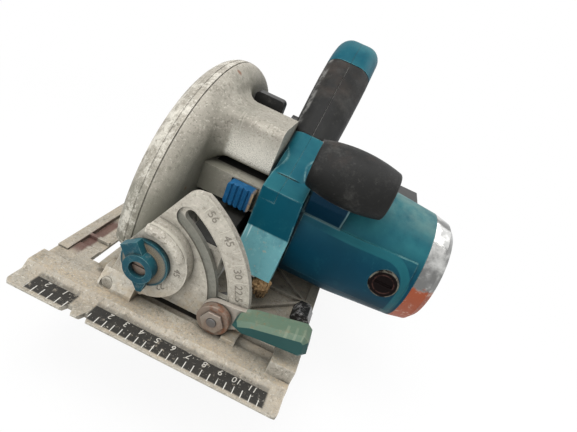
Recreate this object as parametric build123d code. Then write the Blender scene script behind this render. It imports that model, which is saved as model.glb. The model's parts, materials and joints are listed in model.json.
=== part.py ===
"""Cordless circular saw: a sole, a tilting and height-adjustable head, and the drive inside it.

X points to the motor side, Y to the rear and Z up. The origin lies on the sole, in the blade plane,
straight under the spindle. The saw stands at full depth and zero bevel with its lower guard closed.
"""
from build123d import *
import math
import os

os.makedirs("parts", exist_ok=True)

# Gaps: RUN between pieces that move past each other, SEAT between pieces fixed to each other
RUN = 0.3
SEAT = 0.1

# Spindle and blade
SPINDLE_Z = 31.0
SPINDLE_R = 7.5
BLADE_R = 92.5
BLADE_T = 1.4
BLADE_TEETH = 24
GULLET = 7.0
ARBOR_R = 10.0
INNER_FLANGE_R = 20.0
INNER_FLANGE_T = 3.5
INNER_HUB_R = 9.5
OUTER_FLANGE_R = 18.0
OUTER_FLANGE_T = 3.0
OUTER_FLANGE_BEVEL = 1.5
BLADE_BOLT_R = 4.0
BLADE_BOLT_IN = 16.0
BLADE_BOLT_HEX = 13.0
BLADE_BOLT_HEAD = 5.5
FRONT_BEARING_R = 16.0
FRONT_BEARING_T = 10.0
REAR_BEARING_R = 10.0
REAR_BEARING_WEB = 1.0

# Gear pair and motor axis
MODULE = 1.2
PINION_TEETH = 12
GEAR_TEETH = 42
ADDENDUM = 0.85
DEDENDUM = 1.2
ROOT_SHARE = 0.5
TIP_SHARE = 0.18
GEAR_X = (38.0, 48.0)
GEAR_HUB_R = 12.0
GEAR_SIDE = 1.0
MOTOR_LEAN = 35.9
CENTRE_DISTANCE = MODULE * (PINION_TEETH + GEAR_TEETH) / 2
MOTOR_Y = -CENTRE_DISTANCE * math.sin(math.radians(MOTOR_LEAN))
MOTOR_Z = SPINDLE_Z + CENTRE_DISTANCE * math.cos(math.radians(MOTOR_LEAN))

# Motor
MOTOR_R = 45.0
MOTOR_WALL = 3.4
MOTOR_X0 = 62.0
MOTOR_FLANGE_T = 7.0
MOTOR_TAPER_X = 128.0
MOTOR_X1 = 176.0
MOTOR_TAPER = 4.0
CAP_X1 = 191.5
CAP_TAPER = 2.5
CAP_ROUND = 4.0
CAP_RIM = 14.5
CAP_DISH = 3.0
CAP_BEARING_IN = 2.0
CAP_SCREW_ANGLES = (30.0, 150.0, 270.0)
ARMATURE_X = (90.0, 126.0)
ARMATURE_SLOTS = 12
ARMATURE_SLOT_W = 4.0
ARMATURE_SLOT_D = 7.0
SHAFT_R = 5.0
SHAFT_BEARING_R = 12.0
SHAFT_BEARING_T = 7.0
COMMUTATOR_R = 12.0
COMMUTATOR_X = (149.0, 167.0)
FAN_X = (72.0, 80.0)
FAN_GAP = 5.6
FAN_PLATE_T = 2.0
FAN_BLADES = 9
FAN_BLADE_T = 1.6
AIR_GAP = 1.0
MAGNET_T = 7.0
MAGNET_SPLIT = 8.0
YOKE_T = 10.5
YOKE_X = (86.0, 127.5)
BRUSH_X = 158.0
BRUSH_W = 8.0
BRUSH_SLEEVE = 1.5
BRUSH_CAP_R = 10.0
BRUSH_CAP_T = 4.0
BRUSH_SLOT_W = 2.0
BRUSH_SLOT_D = 1.5
BRUSH_SPRING = 6.0
BRUSH_BARE = 4.0
PLATEAU_X = (92.0, 172.0)
PLATEAU_Z = 77.5
PLATEAU_PROUD = 1.6

# Blade case: the cast upper guard with the gear case and its neck
GUARD_Y = 3.0
GUARD_Z = 28.2
GUARD_R = 106.5
GUARD_WALL = 2.5
GUARD_X = (-12.4, 17.9)
GUARD_ROUND = 14.8
GUARD_LEFT_ROUND = 15.2
GUARD_EYE_R = 58.0
GUARD_FOOT_Z = 24.0
GUARD_SEAMS = (-0.5, 4.0)
SEAM_W = 1.0
SEAM_D = 0.8
CASE_WALL = 3.0
CASE_MOTOR_R = 24.0
GEAR_ROOM = 0.9
NECK_Y = (-50.0, -8.0)
NECK_Z = (83.5, 117.0)
NECK_X1 = 60.0
NECK_ROUND = 6.0
NECK_BACK = 24.0
NECK_FLARE = 12.0
BUTTON_BLOCK_Y = -57.0
BUTTON_BLOCK_Z = (59.0, 78.0)
BOSS_R = 24.0
BOSS_X0 = 11.0
BOSS_LIP = 2.0

# Shaft lock button
LOCK_X = (39.5, 58.5)
LOCK_Z = (61.0, 76.5)
LOCK_PROUD = 8.0
LOCK_DEEP = 6.0
LOCK_TRAVEL = 5.0
LOCK_RIBS = 5
LOCK_GROOVE = 1.4
LOCK_ROUND = 2.5

# Lower guard
LOWER_R = 96.0
LOWER_WALL = 1.8
LOWER_X = (-8.2, 13.5)
LOWER_LEFT_R = 62.0
LOWER_ROUND = 7.0
LOWER_ARC = (-180.0, 10.0)
LOWER_KNOB_ANGLE = 40.0
LOWER_KNOB_AT = 49.0
LOWER_KNOB_R = 6.0
LOWER_KNOB_X = -17.0
LOWER_TAB_R = 5.0
LOWER_HUB_W = 4.0

# Sole
BASE_X = (-41.0, 127.5)
BASE_Y = 149.0
SOLE_T = 3.5
SOLE_ROUND = 4.0
RAIL_W = 7.0
RAIL_Z = 5.0
NOSE = 2.0
RIB_T = 2.5
RIB_Z = 4.8
RIB_STEP = 38.0
POCKET_Z = 2.0
SLOT_X = (-19.0, 56.0)
SLOT_Y = (-105.0, 104.0)
BAY_X1 = 78.0
BAY_Y = 46.0
CHANNEL_Y = (-119.5, -107.2)
CHANNEL_H = 4.5
LAND_Y = -132.0
LAND_SLOPE = 4.0
REAR_LAND = (79.0, -95.0)
SIGHT_DEPTH = 5.0
SIGHT_TAPER = 2.5
SIGHT_X = (-6.0, 2.0, 4.8, 11.5)

# Fence clamp
CLAMP_X = (112.0, 127.5)
CLAMP_Y1 = -95.0
CLAMP_Z = 18.0
CLAMP_ROOM_Z = 15.0
CLAMP_SCREW_X = 120.0
CLAMP_SCREW_Z = 12.0
CLAMP_SCREW_R = 3.0
CLAMP_SCREW_TIP = 1.5
CLAMP_NECK_L = 16.0
CLAMP_KNOB_HEX = 12.6
CLAMP_KNOB_L = 14.0

# Bevel hinge and quadrant
BEVEL_X = 6.0
BEVEL_Z = 12.0
BEVEL_MAX = 56.0
BEVEL_PIN_R = 3.0
QUADRANT_Y = -112.0
QUADRANT_T = 5.0
QUADRANT_R = 83.7
QUADRANT_FOOT_X = -10.0
QUADRANT_CREST = ((34.5, 85.3), (43.6, 86.2))
QUADRANT_HEEL = -2.5
QUADRANT_GAP = 3.0
QUADRANT_LEGS = ((1.0, 23.0), (80.0, 89.0))
QUADRANT_TOES = ((-127.0, -112.0), (-121.5, -97.0))
QUADRANT_SCREWS = ((16.0, -123.2), (84.5, -101.0))
LEG_FLARE_Z = 20.0
LEG_RIGHT = (30.5, 17.0)
LEG_LEFT = [(6.0, 23.5), (9.0, 37.5), (19.5, 62.5)]
ARC_SLOT_R = 66.2
BOLT_REST = 5.3
ARC_RECESS_IN = 1.5
ARC_RECESS_W = 7.0
ARC_RECESS = 1.6
STOP_X = 24.5
STOP_Z = 37.0
STOP_BOSS_T = 9.0
STOP_COLLAR_R = 14.5
STOP_COLLAR_T = 3.5
STOP_HUB_R = 9.0
STOP_HUB_T = 7.0
STOP_WING_R = 15.5
STOP_WING_W = 11.0
STOP_WING_TURN = 35.0
STOP_WING_SINK = 1.5
STOP_POINTER_W = 8.0
STOP_POINTER_TIP = 1.5
STOP_POINTER_TURN = 12.0
STOP_WELL_R = 5.2
STOP_SHAFT_R = 4.0
STOP_SHAFT_L = 8.0
STOP_SCREW_T = 2.6
STOP_SLOT_W = 1.2
STOP_SLOT_D = 1.0
PIN_HEAD_R = 3.8
PIN_HEAD_T = 1.4
PIN_SEAT_Y = -123.8

# Bevel bracket with the depth hinge
BRACKET_T = 4.0
EYE_R = 6.4
EAR_X = (31.0, 61.0)
EAR_T = 4.0
EAR_R = 8.5
DEPTH_Y = -94.0
DEPTH_Z = 45.0
DEPTH_PIN_R = 4.0
DEPTH_HEAD_R = 6.0
DEPTH_HEAD_T = 2.0
LUG_R = 8.0
LUG_ROOT = (-36.0, 46.0)
LUG_ROOT_R = 12.0
REAR_PLATE_Y = 109.0
REAR_EAR_T = 6.0

# Clamp bolts and the bevel lever
BOLT_R = 3.0
BOLT_SLACK = 0.6
BOLT_HEAD_R = 6.5
BOLT_HEAD_T = 3.0
BOLT_TIP = 3.0
NUT_HEX = 13.0
NUT_T = 5.5
WASHER_R = 10.2
WASHER_T = 1.2
LEVER_T = 3.5
LEVER_HUB_R = 10.2
LEVER_END = (101.0, 29.5)
LEVER_END_R = 3.0
LEVER_GRIP_Y = (-126.5, -112.6)
LEVER_GRIP = [(83.5, 25.0), (85.0, 29.5), (93.0, 33.5), (122.5, 41.0), (126.0, 38.5), (127.8, 30.5),
              (124.5, 26.5), (100.0, 24.0), (90.0, 22.5)]
LEVER_GRIP_BEVEL = 2.5

# Depth guide and its lever
GUIDE_R = 140.0
GUIDE_W = 16.0
GUIDE_X = 46.0
GUIDE_T = 3.0
GUIDE_REST = -9.4
GUIDE_FOOT_Z = (9.0, 21.0)
DEPTH_MAX = 30.0
ARM_T = 5.7
ARM_ROOT = (18.0, 30.0)
ARM_ROOT_R = 12.0
ARM_END_R = 8.5
DEPTH_HUB_T = 8.0
DEPTH_HUB_R = 9.0
DEPTH_BAR_T = 5.0
DEPTH_BAR_W = 10.0
DEPTH_BAR_TAPER = 1.5
DEPTH_BAR_IN = 2.0
PAD_X = (19.5, 43.0)
PAD_Y = (6.0, 15.0)
PAD_Z = (104.0, 120.0)
PAD_ROUND = 3.5

# Handle: centre y, centre z, lean, width and height of each section, front to rear.
# The skirt's side is given behind the motor's front, and its front from the middle of the saw
HANDLE_X = 73.0
HANDLE_SECTIONS = [
    (-45.0, 79.0, 30.0, 30.0, 30.0),
    (-2.0, 98.0, 41.0, 33.0, 36.0),
    (28.0, 124.0, 41.0, 36.0, 36.0),
    (56.0, 147.0, 36.0, 37.0, 35.0),
    (84.0, 157.0, 6.0, 36.0, 33.0),
    (111.0, 143.0, -58.0, 33.0, 30.0),
    (118.0, 112.0, -90.0, 29.0, 27.0),
    (118.0, 72.0, -90.0, 29.0, 27.0),
]
HANDLE_ROUND = 0.36
HANDLE_STEPS = 2
RUBBER_T = 2.2
RUBBER_L = 76.0
SKIRT_SIDE = [(24.0, 92.0), (10.0, 91.0), (-6.0, 87.0), (-7.0, 58.0), (-19.0, 32.0), (-12.0, 27.0),
              (24.0, 27.0)]
SKIRT_FRONT = [(60.0, 95.0), (89.0, 95.0), (91.0, 60.0), (91.0, 26.0), (83.0, 26.0), (60.0, 48.0)]
JOG_Z = 79.0
TRIGGER_AT = 40.0
TRIGGER_L = 32.0
TRIGGER_W = 14.0
TRIGGER_IN = 8.0
TRIGGER_PROUD = 13.0
TRIGGER_HOLLOW_R = 26.0
TRIGGER_HOLLOW_D = 5.0
TRIGGER_HOLLOW_AT = 3.0
TRIGGER_TRAVEL = 6.0
SWITCH_W = 19.0
SWITCH_L = 28.0
SWITCH_H = 12.0
LOCKOFF_AT = 16.0
LOCKOFF_R = 5.0
LOCKOFF_PROUD = 4.0
LOCKOFF_IN = 9.0
LOCKOFF_TRAVEL = 3.0
FRONT_SCREW_Y = -10.0
FRONT_SCREW_LIFT = 5.75
REAR_SCREWS = [(92.0, 156.0), (118.0, 100.0)]
SCREW_R = 2.0
SCREW_HEAD_R = 3.8
SCREW_HEAD_T = 2.5
SCREW_L = 16.0
SCREW_SUNK = 0.6

# Front grip
GRIP_Y = -62.0
GRIP_Z = 112.0
GRIP_X = (85.0, 135.5)
GRIP_MID_R = 18.3
GRIP_END_R = 14.8
GRIP_CORE_R = 9.5
GRIP_WALL_X = 3.0
GRIP_ROUND = 2.5
PEDESTAL_X = (92.0, 117.0)
PEDESTAL_Y = 9.0
PEDESTAL_FRONT_Z = 92.0
PEDESTAL_TOE = (-59.0, 76.0)

# Battery and its mount
BATTERY_X = (74.0, 182.0)
BATTERY_Y = (51.0, 121.5)
BATTERY_Z = (12.0, 66.5)
BATTERY_ROUND = 6.0
BATTERY_WALL = 2.5
CELL_R = 9.2
CELL_ROWS = (5, 2)
MOUNT_X1 = 147.0
MOUNT_T = 6.0
MOUNT_Y = (14.0, 133.0)
MOUNT_FOOT_Z = 32.0
MOUNT_FOOT_BEVEL = 8.0
RAIL_AT = (64.0, 108.0)
RAIL_STEM = 5.0
RAIL_HEAD = 9.0
RAIL_H = 6.0
RAIL_LIP = 3.0
TERMINAL_Y = (72.0, 78.0, 86.0, 92.0)
TERMINAL_X = (25.0, 40.0)
TERMINAL_T = 1.2
TERMINAL_ROOM = 2.0
TERMINAL_H = 5.0
LATCH_W = 22.0
LATCH_H = 12.0
LATCH_IN = 6.0
LATCH_PROUD = 2.0
LATCH_TRAVEL = 4.0
LATCH_GROOVE_W = 1.2
LATCH_GROOVE_D = 0.8

# Worked-out places
STOP_BOSS_R = ARC_SLOT_R - math.dist((STOP_X, STOP_Z), (BEVEL_X, BEVEL_Z)) - LEVER_HUB_R - RUN
BRACKET_Y = QUADRANT_Y + QUADRANT_T + RUN
BEVEL_BOLT = (BEVEL_X + ARC_SLOT_R * math.cos(math.radians(BOLT_REST)),
              BEVEL_Z + ARC_SLOT_R * math.sin(math.radians(BOLT_REST)))
LAND_Z = SOLE_T + CHANNEL_H
GEAR_TIP_R = MODULE * (GEAR_TEETH / 2 + ADDENDUM)
CASE_R = GEAR_TIP_R + GEAR_ROOM + CASE_WALL
BEARING_X0 = BOSS_X0 + BOSS_LIP
REAR_BEARING_X1 = MOTOR_X0 + MOTOR_FLANGE_T - REAR_BEARING_WEB
DEPTH_BOLT = (DEPTH_Y + GUIDE_R * math.cos(math.radians(GUIDE_REST)),
              DEPTH_Z + GUIDE_R * math.sin(math.radians(GUIDE_REST)))
ARM_X = (GUIDE_X - RUN - ARM_T, GUIDE_X - RUN)
DEPTH_HUB_X = (ARM_X[0] - SEAT - DEPTH_HUB_T, ARM_X[0] - SEAT)
MOUNT_Z = BATTERY_Z[1] + RUN
MOUNT_X = (MOTOR_X0 + MOTOR_FLANGE_T + SEAT, MOUNT_X1)
CAP_BEARING_X = MOTOR_X1 + CAP_BEARING_IN
MOTOR_FRONT = MOTOR_Y - MOTOR_R
HANDLE_SCREWS = [(FRONT_SCREW_Y, MOTOR_Z + MOTOR_R + FRONT_SCREW_LIFT), *REAR_SCREWS]
BRUSH_CAP_IN = MOTOR_R - BRUSH_CAP_T
MOTOR_END_R = MOTOR_R - MOTOR_TAPER
CAP_R = MOTOR_END_R - CAP_TAPER
CAP_DISH_R = CAP_R - CAP_RIM
YOKE_R = MOTOR_R - MOTOR_WALL - SEAT
MAGNET_R = YOKE_R - YOKE_T
ARMATURE_R = MAGNET_R - MAGNET_T - AIR_GAP
FAN_R = MOTOR_R - MOTOR_WALL - FAN_GAP


def save(name, solid):
    """Write one named piece."""
    export_step(solid, f"parts/{name}.step")


def block(x, y, z):
    """A box between the limits x, y and z."""
    spans = (x, y, z)
    middle = [(span[0] + span[1]) / 2 for span in spans]
    return Pos(*middle) * Box(*[abs(span[1] - span[0]) for span in spans])


def rod_x(radius, x, y, z):
    """A cylinder along X between the limits x."""
    return Pos((x[0] + x[1]) / 2, y, z) * Rot(0, 90, 0) * Cylinder(radius, abs(x[1] - x[0]))


def rod_y(radius, y, x, z):
    """A cylinder along Y between the limits y."""
    return Pos(x, (y[0] + y[1]) / 2, z) * Rot(90, 0, 0) * Cylinder(radius, abs(y[1] - y[0]))


def slab_x(face, x):
    """Extrude a face drawn in (Y, Z) between the limits x."""
    return extrude(Plane.YZ.offset(min(x)) * face, max(x) - min(x))


def slab_y(face, y):
    """Extrude a face drawn in (X, Z) between the limits y."""
    return extrude(Plane.XZ.offset(-max(y)) * face, max(y) - min(y))


def slab_z(face, z):
    """Extrude a face drawn in (X, Y) between the limits z."""
    return extrude(Plane.XY.offset(min(z)) * face, max(z) - min(z))


def polygon(points):
    """A face with straight sides."""
    return make_face(Polyline(*points, close=True))


def capsule(a, ra, b, rb):
    """The outline round two circles and their tangents."""
    return make_hull((Pos(*a) * Circle(ra) + Pos(*b) * Circle(rb)).edges())


def arc_band(centre, radius, half_width, start, end):
    """A round-ended band along an arc about a centre, in degrees."""
    return SlotArc(CenterArc(centre, radius, start, end - start), 2 * half_width)


def turned(points, y, z):
    """Revolve (x, radius) points about the X line through y, z."""
    return Pos(0, y, z) * revolve(polygon(points), Axis.X)


def ring_x(outer, inner, x, y, z):
    """A tube along X between the limits x."""
    return rod_x(outer, x, y, z) - rod_x(inner, x, y, z)


def hexagon_y(across, y, x, z):
    """A hexagonal bar along Y."""
    return slab_y(Pos(x, z) * RegularPolygon(across / math.sqrt(3), 6), y)


def toothed(teeth, phase):
    """A spur gear outline with straight flanks and a tooth at the angle phase."""
    root = MODULE * (teeth / 2 - DEDENDUM)
    tip = MODULE * (teeth / 2 + ADDENDUM)
    corners = ((root, -ROOT_SHARE), (tip, -TIP_SHARE), (tip, TIP_SHARE), (root, ROOT_SHARE))
    pitch = 2 * math.pi / teeth
    points = []
    for tooth in range(teeth):
        for radius, share in corners:
            angle = math.radians(phase) + (tooth + share / 2) * pitch
            points.append((radius * math.cos(angle), radius * math.sin(angle)))
    return polygon(points)


def saw_outline():
    """Outline of the toothed disc; the teeth cut upwards at the front."""
    pitch = 2 * math.pi / BLADE_TEETH
    corners = ((BLADE_R, 0.0), (BLADE_R - GULLET, 0.08), (BLADE_R - 0.9 * GULLET, 0.36),
               (BLADE_R - 2.0, 0.52))
    points = []
    for tooth in range(BLADE_TEETH):
        for radius, share in corners:
            angle = (tooth + share) * pitch
            points.append((radius * math.cos(angle), radius * math.sin(angle)))
    return polygon(points)


def motor_skin(extra):
    """The motor's outer form as a solid, grown by extra."""
    reach = MOTOR_R + extra
    end = MOTOR_END_R + extra
    points = [(MOTOR_X0, 0), (MOTOR_X0, reach), (MOTOR_TAPER_X, reach), (MOTOR_X1, end), (MOTOR_X1, 0)]
    return turned(points, MOTOR_Y, MOTOR_Z)


def motor_flange(extra):
    """Outline of the motor's front flange, which closes the gear case."""
    return capsule((0, SPINDLE_Z), CASE_R + extra, (MOTOR_Y, MOTOR_Z), MOTOR_R + extra)


# Sole


def base_plate():
    """Cast sole with rails, ribs, blade slot, fence channel, sight notches and rear hinge ear."""
    plate = slab_z(RectangleRounded(BASE_X[1] - BASE_X[0], 2 * BASE_Y, SOLE_ROUND), (0, SOLE_T))
    plate = Pos((BASE_X[0] + BASE_X[1]) / 2, 0, 0) * plate
    knob_end = CLAMP_Y1 + CLAMP_NECK_L + CLAMP_KNOB_L
    rails = block((BASE_X[0], BASE_X[0] + RAIL_W), (LAND_Y, BASE_Y - SOLE_ROUND), (0, RAIL_Z))
    rails += block((BASE_X[1] - RAIL_W, BASE_X[1]), (knob_end + RAIL_W / 2, BASE_Y - SOLE_ROUND), (0, RAIL_Z))
    rails += block((BASE_X[0] + RAIL_W, BASE_X[1] - RAIL_W), (BASE_Y - RAIL_W, BASE_Y - RIB_T), (0, RAIL_Z))
    land = polygon([(LAND_Y - LAND_SLOPE, 0), (LAND_Y - LAND_SLOPE, SOLE_T), (LAND_Y, LAND_Z),
                    (CHANNEL_Y[0], LAND_Z), (CHANNEL_Y[0], 0)])
    for pocket_x in ((BASE_X[0] + RAIL_W, SLOT_X[0]), (BAY_X1, BASE_X[1] - RAIL_W)):
        plate -= block(pocket_x, (REAR_LAND[1], BASE_Y - RAIL_W), (POCKET_Z, SOLE_T + 1))
    solid = plate + rails + slab_x(land, BASE_X)
    solid += block((REAR_LAND[0], CLAMP_X[1]), (CHANNEL_Y[1], REAR_LAND[1]), (0, LAND_Z))
    solid += block(CLAMP_X, (LAND_Y + LAND_SLOPE, CLAMP_Y1), (0, CLAMP_Z))
    solid += ribs()
    solid -= block(SLOT_X, SLOT_Y, (-1, CLAMP_Z))
    solid -= block((SLOT_X[0], BAY_X1), (-BAY_Y, BAY_Y), (-1, CLAMP_Z))
    solid -= block((BASE_X[0] - 1, BASE_X[1] + 1), CHANNEL_Y, (SOLE_T, LAND_Z))
    solid -= block((CLAMP_X[0] - 1, BASE_X[1] + 1), CHANNEL_Y, (SOLE_T, CLAMP_ROOM_Z))
    screw_hole = (CHANNEL_Y[1] - 1, CLAMP_Y1 + 1)
    solid -= rod_y(CLAMP_SCREW_R + SEAT, screw_hole, CLAMP_SCREW_X, CLAMP_SCREW_Z)
    ear_y = (REAR_PLATE_Y + BRACKET_T + RUN, REAR_PLATE_Y + BRACKET_T + RUN + REAR_EAR_T)
    ear = make_hull((Pos(BEVEL_X, BEVEL_Z) * Circle(EYE_R + 1)
                     + Pos(BEVEL_X, SOLE_T / 2) * Rectangle(3.4 * EYE_R, SOLE_T)).edges())
    solid += slab_y(ear, ear_y)
    solid -= rod_y(BEVEL_PIN_R + SEAT, (ear_y[0] - 1, ear_y[1] + 1), BEVEL_X, BEVEL_Z)
    for side in (0, 2):
        left, right = SIGHT_X[side], SIGHT_X[side + 1]
        notch = [(left, -BASE_Y - 1), (left + SIGHT_TAPER, -BASE_Y + SIGHT_DEPTH),
                 (right - SIGHT_TAPER, -BASE_Y + SIGHT_DEPTH), (right, -BASE_Y - 1)]
        solid -= slab_z(polygon(notch), (-1, SOLE_T + 1))
    nose = polygon([(-BASE_Y - 1, -1), (-BASE_Y + NOSE + 1, -1), (-BASE_Y - 1, NOSE + 1)])
    solid -= slab_x(nose, (BASE_X[0] - 1, BASE_X[1] + 1))
    for spot in QUADRANT_SCREWS:
        solid -= quadrant_screw(spot, -1, SEAT)
    return solid


def ribs():
    """Upright webs in the pockets beside the blade slot."""
    left = (BASE_X[0] + RAIL_W, SLOT_X[0])
    right = (BAY_X1, BASE_X[1] - RAIL_W)
    border = (POCKET_Z / 2, RIB_Z)
    webs = block((BAY_X1, BAY_X1 + RIB_T), (REAR_LAND[1], BASE_Y - RAIL_W), border)
    webs += block((SLOT_X[0], BAY_X1), (SLOT_Y[1], SLOT_Y[1] + RIB_T), border)
    count = int((SLOT_Y[1] - SLOT_Y[0]) / RIB_STEP)
    for row in range(count + 1):
        y = SLOT_Y[0] + (row + 0.5) * RIB_STEP
        webs += block(left, (y, y + RIB_T), border)
        webs += block(right, (y, y + RIB_T), border)
        foot = right[row % 2]
        head = right[1 - row % 2]
        if row < count:
            slant = [(foot, y + RIB_T), (foot, y), (head, y + RIB_STEP), (head, y + RIB_STEP + RIB_T)]
            webs += slab_z(polygon(slant), border)
    return webs


def quadrant_screw(spot, bottom, gap):
    """A screw from under the sole into a foot of the quadrant, grown by gap."""
    top = SCREW_SUNK + SCREW_HEAD_T + gap
    tip = LAND_Z + QUADRANT_GAP - SCREW_SUNK + gap
    head = Pos(*spot, (bottom + top) / 2) * Cylinder(SCREW_HEAD_R + gap, top - bottom)
    return head + Pos(*spot, (top + tip) / 2) * Cylinder(SCREW_R + gap, tip - top)


def quadrant_outline():
    """Front outline of the bevel quadrant, in (X, Z)."""
    reach = QUADRANT_R
    crest = QUADRANT_CREST
    heel = math.radians(QUADRANT_HEEL)
    toe = (BEVEL_X + reach * math.cos(heel), BEVEL_Z + reach * math.sin(heel))
    start = math.degrees(math.atan2(crest[1][1] - BEVEL_Z, crest[1][0] - BEVEL_X))
    top = (BEVEL_X + reach * math.cos(math.radians(start)), BEVEL_Z + reach * math.sin(math.radians(start)))
    gap = LAND_Z + QUADRANT_GAP
    arc = CenterArc((BEVEL_X, BEVEL_Z), reach, QUADRANT_HEEL, start - QUADRANT_HEEL)
    rest = Polyline(top, crest[0], (QUADRANT_FOOT_X, LAND_Z), (QUADRANT_LEGS[0][1], LAND_Z),
                    (QUADRANT_LEGS[0][1], gap), (QUADRANT_LEGS[1][0], gap), (QUADRANT_LEGS[1][0], LAND_Z),
                    (toe[0], LAND_Z), toe)
    return make_face([arc, rest])


def bevel_quadrant():
    """Cast quadrant with its arc slot, stop boss and two feet."""
    outline = quadrant_outline()
    back = QUADRANT_Y + QUADRANT_T
    solid = slab_y(outline, (QUADRANT_Y, back))
    leg = polygon([(QUADRANT_LEGS[0][0], LAND_Z), (QUADRANT_LEGS[0][1], LAND_Z), LEG_RIGHT,
                   (STOP_X, STOP_Z), LEG_LEFT[1], LEG_LEFT[0]])
    right = STOP_X + STOP_BOSS_R
    limit = polygon([(QUADRANT_LEGS[0][0], LAND_Z), *LEG_LEFT, (right, LEG_LEFT[-1][1]), (right, LAND_Z)])
    boss = outline & limit & (Pos(STOP_X, STOP_Z) * Circle(STOP_BOSS_R) + leg)
    solid += slab_y(boss, (QUADRANT_Y - STOP_BOSS_T, QUADRANT_Y))
    for leg_x, toe_y in zip(QUADRANT_LEGS, QUADRANT_TOES):
        solid += block(leg_x, toe_y, (LAND_Z, LAND_Z + QUADRANT_GAP))
    front = QUADRANT_Y - STOP_BOSS_T
    flare = polygon([(QUADRANT_TOES[0][0], LAND_Z), (QUADRANT_TOES[0][0], LAND_Z + QUADRANT_GAP),
                     (front, LEG_FLARE_Z), (QUADRANT_Y, LEG_FLARE_Z), (QUADRANT_Y, LAND_Z)])
    solid += slab_x(flare, QUADRANT_LEGS[0])
    for spot in QUADRANT_SCREWS:
        solid -= quadrant_screw(spot, -1, SEAT)
    centre = (BEVEL_X, BEVEL_Z)
    recess = arc_band(centre, ARC_SLOT_R - ARC_RECESS_IN, ARC_RECESS_W, BOLT_REST, BOLT_REST + BEVEL_MAX)
    solid -= slab_y(recess, (QUADRANT_Y, QUADRANT_Y + ARC_RECESS))
    slot = arc_band(centre, ARC_SLOT_R, BOLT_R + BOLT_SLACK, BOLT_REST, BOLT_REST + BEVEL_MAX)
    solid -= slab_y(slot, (QUADRANT_Y - 1, back + 1))
    solid -= rod_y(BEVEL_PIN_R + SEAT, (QUADRANT_TOES[0][0] - 1, back + 1), BEVEL_X, BEVEL_Z)
    solid -= rod_y(PIN_HEAD_R + SEAT, (QUADRANT_TOES[0][0] - 1, PIN_SEAT_Y), BEVEL_X, BEVEL_Z)
    well = QUADRANT_Y - STOP_BOSS_T
    solid -= rod_y(STOP_SHAFT_R + RUN, (well - 1, well + STOP_SHAFT_L + RUN), STOP_X, STOP_Z)
    return solid


def bevel_pins():
    """Front and rear pins of the bevel hinge."""
    head = PIN_SEAT_Y - SEAT
    front = rod_y(BEVEL_PIN_R, (head - PIN_HEAD_T, BRACKET_Y + BRACKET_T), BEVEL_X, BEVEL_Z)
    front += rod_y(PIN_HEAD_R, (head - PIN_HEAD_T, head), BEVEL_X, BEVEL_Z)
    rear_end = REAR_PLATE_Y + BRACKET_T + RUN + REAR_EAR_T
    rear = rod_y(BEVEL_PIN_R, (REAR_PLATE_Y, rear_end), BEVEL_X, BEVEL_Z)
    rear += rod_y(2 * BEVEL_PIN_R, (rear_end + SEAT, rear_end + 2), BEVEL_X, BEVEL_Z)
    rear += rod_y(BEVEL_PIN_R, (rear_end, rear_end + 1), BEVEL_X, BEVEL_Z)
    return Compound(children=[front, rear])


def stop_knob():
    """Bevel stop knob: a collar, a hub, a block wing and a pointed wing."""
    face = QUADRANT_Y - STOP_BOSS_T - SEAT
    mid = face - STOP_COLLAR_T
    tip = mid - STOP_HUB_T
    knob = rod_y(STOP_COLLAR_R, (mid, face), STOP_X, STOP_Z)
    knob += rod_y(STOP_HUB_R, (tip, mid), STOP_X, STOP_Z)
    knob += rod_y(STOP_SHAFT_R, (face, face + STOP_SHAFT_L), STOP_X, STOP_Z)
    wing = polygon([(-STOP_WING_W / 2, 0), (-STOP_WING_W / 2, STOP_WING_R), (STOP_WING_W / 2, STOP_WING_R),
                    (STOP_WING_W / 2, 0)])
    pointer = polygon([(-STOP_POINTER_W, 0), (STOP_POINTER_W, 0), (STOP_POINTER_TIP, -STOP_WING_R),
                       (-STOP_POINTER_TIP, -STOP_WING_R)])
    wing_y = (tip + STOP_WING_SINK, mid)
    knob += slab_y(Pos(STOP_X, STOP_Z) * Rot(0, 0, STOP_WING_TURN) * wing, wing_y)
    knob += slab_y(Pos(STOP_X, STOP_Z) * Rot(0, 0, STOP_POINTER_TURN) * pointer, wing_y)
    knob -= rod_y(STOP_WELL_R, (tip - 1, mid - 1), STOP_X, STOP_Z)
    return knob


def stop_screw():
    """Slotted screw in the well of the stop knob."""
    face = QUADRANT_Y - STOP_BOSS_T - SEAT
    bottom = face - STOP_COLLAR_T - 1
    top = bottom - STOP_SCREW_T
    screw = rod_y(STOP_WELL_R - SEAT, (top, bottom), STOP_X, STOP_Z)
    slot_x = (STOP_X - STOP_WELL_R, STOP_X + STOP_WELL_R)
    slot_z = (STOP_Z - STOP_SLOT_W / 2, STOP_Z + STOP_SLOT_W / 2)
    return screw - block(slot_x, (top - 1, top + STOP_SLOT_D), slot_z)


def fence_screw():
    """Clamp screw of the rip fence with a six-sided knob."""
    tip = CHANNEL_Y[1] - CLAMP_SCREW_TIP
    head = CLAMP_Y1 + CLAMP_NECK_L
    screw = rod_y(CLAMP_SCREW_R, (tip, head + 1), CLAMP_SCREW_X, CLAMP_SCREW_Z)
    return screw + hexagon_y(CLAMP_KNOB_HEX, (head, head + CLAMP_KNOB_L), CLAMP_SCREW_X, CLAMP_SCREW_Z)


# Bevel frame


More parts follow.
